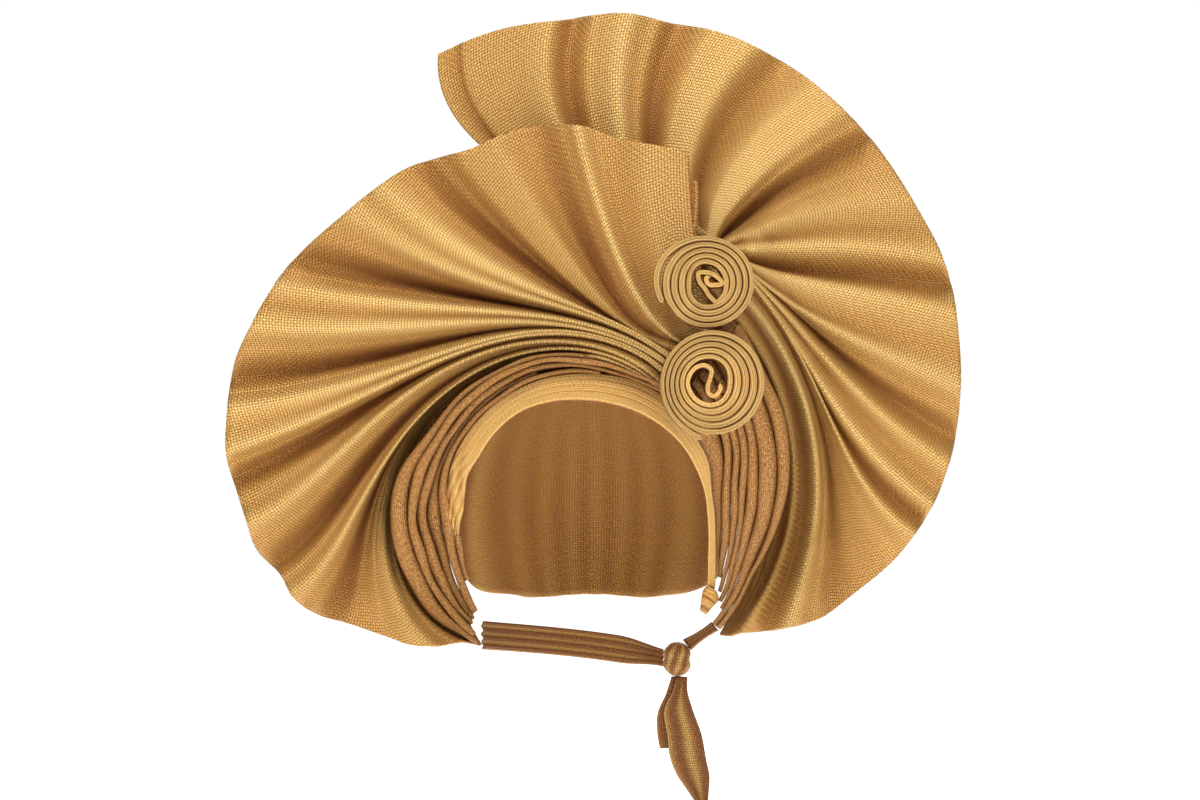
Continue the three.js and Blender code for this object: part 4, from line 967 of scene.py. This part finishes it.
def cap():
    """The dome: an ellipsoid walked down from the crown by a share of the fall, drawn to the joint with the
    collar in proportion to the square of that share, with gathers a wave along the turn that grow towards
    the hem."""
    turn = np.linspace(0, 360, 181)[None, :]
    share = np.linspace(0.001, 1, 60)[:, None]
    fall = np.radians(curve(CAP_HEM, 1, turn))
    a = np.radians(turn)

    def dome(f):
        x = CAP_HALF[0] * np.sin(f) * np.sin(a)
        y = CAP_HALF[1] * np.sin(f) * np.cos(a)
        z = CAP_HALF[2] * (np.cos(f) - 1) + CAP_RISE
        return np.stack(np.broadcast_arrays(x, y, z), -1)

    back = collar_depth(curve(CAP_HEM, 3, turn)) + curve(CAP_HEM, 5, turn) + CAP_BACK
    joint = place(curve(CAP_HEM, 3, turn), OPENING * curve(CAP_HEM, 4, turn), back) / MM
    joined = np.clip(curve(CAP_HEM, 2, turn), 0, 1)
    pull = (joint - dome(fall)) * joined[..., None]
    grid = dome(fall * share) + pull * (share**2)[..., None]
    waves = GATHER_HEIGHT * np.sin(a * GATHERS + 2 * np.sin(3 * a))
    gathers = waves * ease((share - 0.25) / 0.5) * (0.3 + 0.7 * joined)
    centre = np.array([0, 0, -CAP_HALF[2]])
    outward = grid - centre
    outward /= np.linalg.norm(outward, axis=2)[..., None]
    grid = (grid + outward * gathers[..., None]) * MM
    # Painted shading: painted highlight on the gathers that stand out, painted shade in those that sink in.
    painted_shading = np.clip(0.42 + 0.3 * gathers, 0, 1)
    piece = wall(surface("cap_crown_cloth", grid[:, :-1], painted_shading[:, :-1], CAP_CLOTH, closed=True), CAP_WALL)
    return dress(piece, ["cap_crown"])


cap()

# %% [markdown]
# ## Straps, knot and tails
# Low at the back two gathered straps meet in a knot, and the knot's two ends hang down. Each is a strip
# along a path with a width, and soft folds that run along it.

# %% Strips
STRIP_WALL = 1.1


def strip(node_name, path, half, across, thick_axis, folds, depth):
    """A strip along a path. Across it, q runs from -1 to 1: the place is the path's point plus q times the
    half width, pushed along its own thickness by a wave of that many folds."""
    q = np.linspace(-1, 1, 37)[None, :, None]
    wave = np.sin(q * np.pi * folds + 0.7) * depth * (1 - 0.5 * q**2)
    grid = path[:, None] + across[:, None] * half[:, None, None] * q + thick_axis[:, None] * wave
    # Painted shading: painted highlight and painted shade in turn across the strip, in step with its wave of
    # folds.
    painted_shading = np.clip(0.5 + 0.42 * np.sin(q[..., 0] * np.pi * folds + 0.7) + 0 * half[:, None], 0, 1)
    piece = wall(surface(node_name + "_cloth", grid * MM, painted_shading, TIE_CLOTH), STRIP_WALL)
    return dress(piece, [node_name])


def along_rows(rows, count):
    """Shares from 0 to 1 and every other column of a table at them."""
    at = np.linspace(0, 1, count)
    width = np.array(rows).shape[1]
    return at, [curve(rows, k, at) for k in range(1, width)]


STRAP_ROUND = (66.0, 62.0)
KNOT_TURN = np.radians(144)
KNOT = np.array([-STRAP_ROUND[0] * np.cos(KNOT_TURN), STRAP_ROUND[1] * np.sin(KNOT_TURN), -188.0])
KNOT_RADIUS = 9.3
LONG_TAIL = (
    (0, 0, 0.3), (0.1, -0.05, 0.4), (0.235, -0.1, 0.8), (0.43, 0.07, 1), (0.63, 0.2, 1.03),
    (0.735, 0.33, 0.94), (0.84, 0.46, 0.64), (0.955, 0.59, 0.28), (1, 0.64, 0.1),
)  # share of the drop, middle, width
TAIL_FOLD = 1.1
SHORT_TAIL = ((0, 0, 0.4), (0.25, -0.1, 0.7), (0.5, -0.3, 0.95), (0.8, -0.3, 1), (1, -0.25, 0.9))


def tail(name, rows, length, width, top, folds):
    """A hanging end: its middle and width at each share of its drop, as shares of its full width."""
    at, (middle, wide) = along_rows(rows, 60)
    path = np.stack([top[0] + middle * width, top[1] - 0.04 * at * length, top[2] - at * length], -1)
    sideways = np.tile([1.0, 0, 0], (len(at), 1))
    back = np.tile([0, 1.0, 0], (len(at), 1))
    return strip(name, path, wide * width / 2, sideways, back, folds, TAIL_FOLD)


def nape_strap():
    """The strap round the back, from the left pleats' end to the knot."""
    at = np.linspace(0, 1, 80)
    turn = np.radians(mix(20, 133, at))
    out = 3.5 * (1 - at)
    x = -(STRAP_ROUND[0] + out) * np.cos(turn)
    y = (STRAP_ROUND[1] + out) * np.sin(turn)
    path = np.stack([x, y, -mix(172, 188, at)], -1)
    outward = np.stack([-np.cos(turn), np.sin(turn), 0 * turn], -1)
    upright = np.tile([0, 0, 1.0], (80, 1))
    half = 8.5 - 3.2 * ease((at - 0.75) / 0.25)
    return strip("nape_strap", path, half, upright, outward, 3.5, 0.8)


def side_strap():
    """The short strap from the right pleats' end down to the knot."""
    head = place(np.array(-39.4), np.array(100.7), np.array(collar_depth(-39.4) + 9)) / MM
    foot = KNOT + np.array([6.2, 0, 8.7])
    at = np.linspace(0, 1, 30)
    path = mix(head[None, :], foot[None, :], at[:, None])
    run = (foot - head) / np.linalg.norm(foot - head)
    aside = np.cross(run, [0, 1.0, 0])
    half = mix(4.1, 5.1, at) - 1.0 * np.sin(np.pi * at)
    back = np.tile([0, 1.0, 0], (30, 1))
    return strip("side_strap", path, half, np.tile(aside, (30, 1)), back, 2.5, 0.7)


def knot():
    """A lump wrapped by a band: a ball flattened in depth, drawn in at its waist, with fine folds that turn
    round it."""
    turn = np.linspace(0, 2 * np.pi, 72, endpoint=False)[None, :]
    fall = np.linspace(0.02, np.pi - 0.02, 48)[:, None]
    waist = 1 - 0.16 * np.exp(-((np.cos(fall) / 0.34) ** 2))
    folds = 0.35 * np.sin(7 * turn + 3 * fall) * np.sin(fall)
    radius = KNOT_RADIUS + folds
    x = radius * np.sin(fall) * np.cos(turn) * waist
    y = radius * np.sin(fall) * np.sin(turn) * waist * 0.86
    z = radius * np.cos(fall) * 1.12 + 0 * turn
    grid = (KNOT + np.stack([x, y, z], -1)) * MM
    # Painted shading: painted highlight where the fine folds stand out, painted shade where they sink in.
    painted_shading = np.clip(0.5 + 1.1 * folds, 0, 1)
    piece = surface("tie_knot_cloth", grid[:, ::-1], painted_shading[:, ::-1], TIE_CLOTH, closed=True)
    doubled(piece)
    return dress(piece, ["tie_knot"])


FOOT = KNOT + np.array([0, 0, -10.9])
knot()
nape_strap()
side_strap()
tail("tie_tail_long", LONG_TAIL, 82, 21, FOOT + np.array([2.85, 0, 0]), 1.6)
tail("tie_tail_short", SHORT_TAIL, 44, 15, FOOT + np.array([0, 3.0, 0]), 1.3)

# %% [markdown]
# ## The loose hem and the fold at the jaw
# Two small pieces finish the front: the turned hem that shows beside the left fan's right end, and a
# crumpled fold where the band's right end stops.

# %% Hem and jaw fold
HEM = ((0, 160, 5), (0.35, 185, 9), (0.7, 202, 11), (1, 214, 11.4))


def fan_hem():
    """A narrow strip just behind the fan's right end, from behind the rosette up to its top."""
    at, (radius, wide) = along_rows(HEM, 40)
    edge = mix(68.6, 74.0, at**0.7)
    q = np.linspace(0, 1, 13)[None, :]
    angle = edge[:, None] + np.degrees(2.6 / radius)[:, None] - np.degrees(wide / radius)[:, None] * q
    depth = mix(-75, -67.5, at)[:, None] + 0.5 * np.sin(q * 7)
    grid = place(angle, radius[:, None] + 0 * q, depth)
    # Painted shading: painted highlight and painted shade in turn across the hem, in step with its wave.
    painted_shading = np.clip(0.45 + 0.35 * np.sin(q * 7) + 0 * radius[:, None], 0, 1)
    piece = wall(surface("left_fan_hem_cloth", grid, painted_shading, FAN_CLOTH), 1.2)
    return dress(piece, ["left_fan_hem"])


JAW = ((-38, 1.2, 1.26), (-33.5, 1.15, 1.27), (-30.5, 1.13, 1.276), (-28.3, 1.14, 1.222))


def jaw_fold():
    """A short pleat that crumples: the folded profile with a wave along it."""
    angle = np.linspace(-38, -28.3, 60)[:, None]
    inner = OPENING * curve(JAW, 1, angle)
    outer = OPENING * curve(JAW, 2, angle)
    side, bend, leg = folded_profile()
    half = (outer - inner) / 2 - 0.2
    crumple = 1.2 * np.sin(angle * 1.9) + 0.8 * np.sin(angle * 3.3 + 1)
    depth = collar_depth(angle) + 1.4 + bend * 3 + leg * 10 + crumple * (1 - leg)
    grid = place(angle, (inner + outer) / 2 + side * half, depth)
    # Painted shading: painted highlight on the crest, painted shade round the fold and down the legs, moved
    # a little with the crumple.
    painted_shading = np.clip(0.7 - 0.35 * bend - 0.5 * leg + 0.15 * crumple, 0, 1)
    piece = wall(surface("jaw_fold_cloth", grid, painted_shading, BAND_CLOTH), 0.6)
    return dress(piece, ["jaw_fold"])


fan_hem()
jaw_fold()
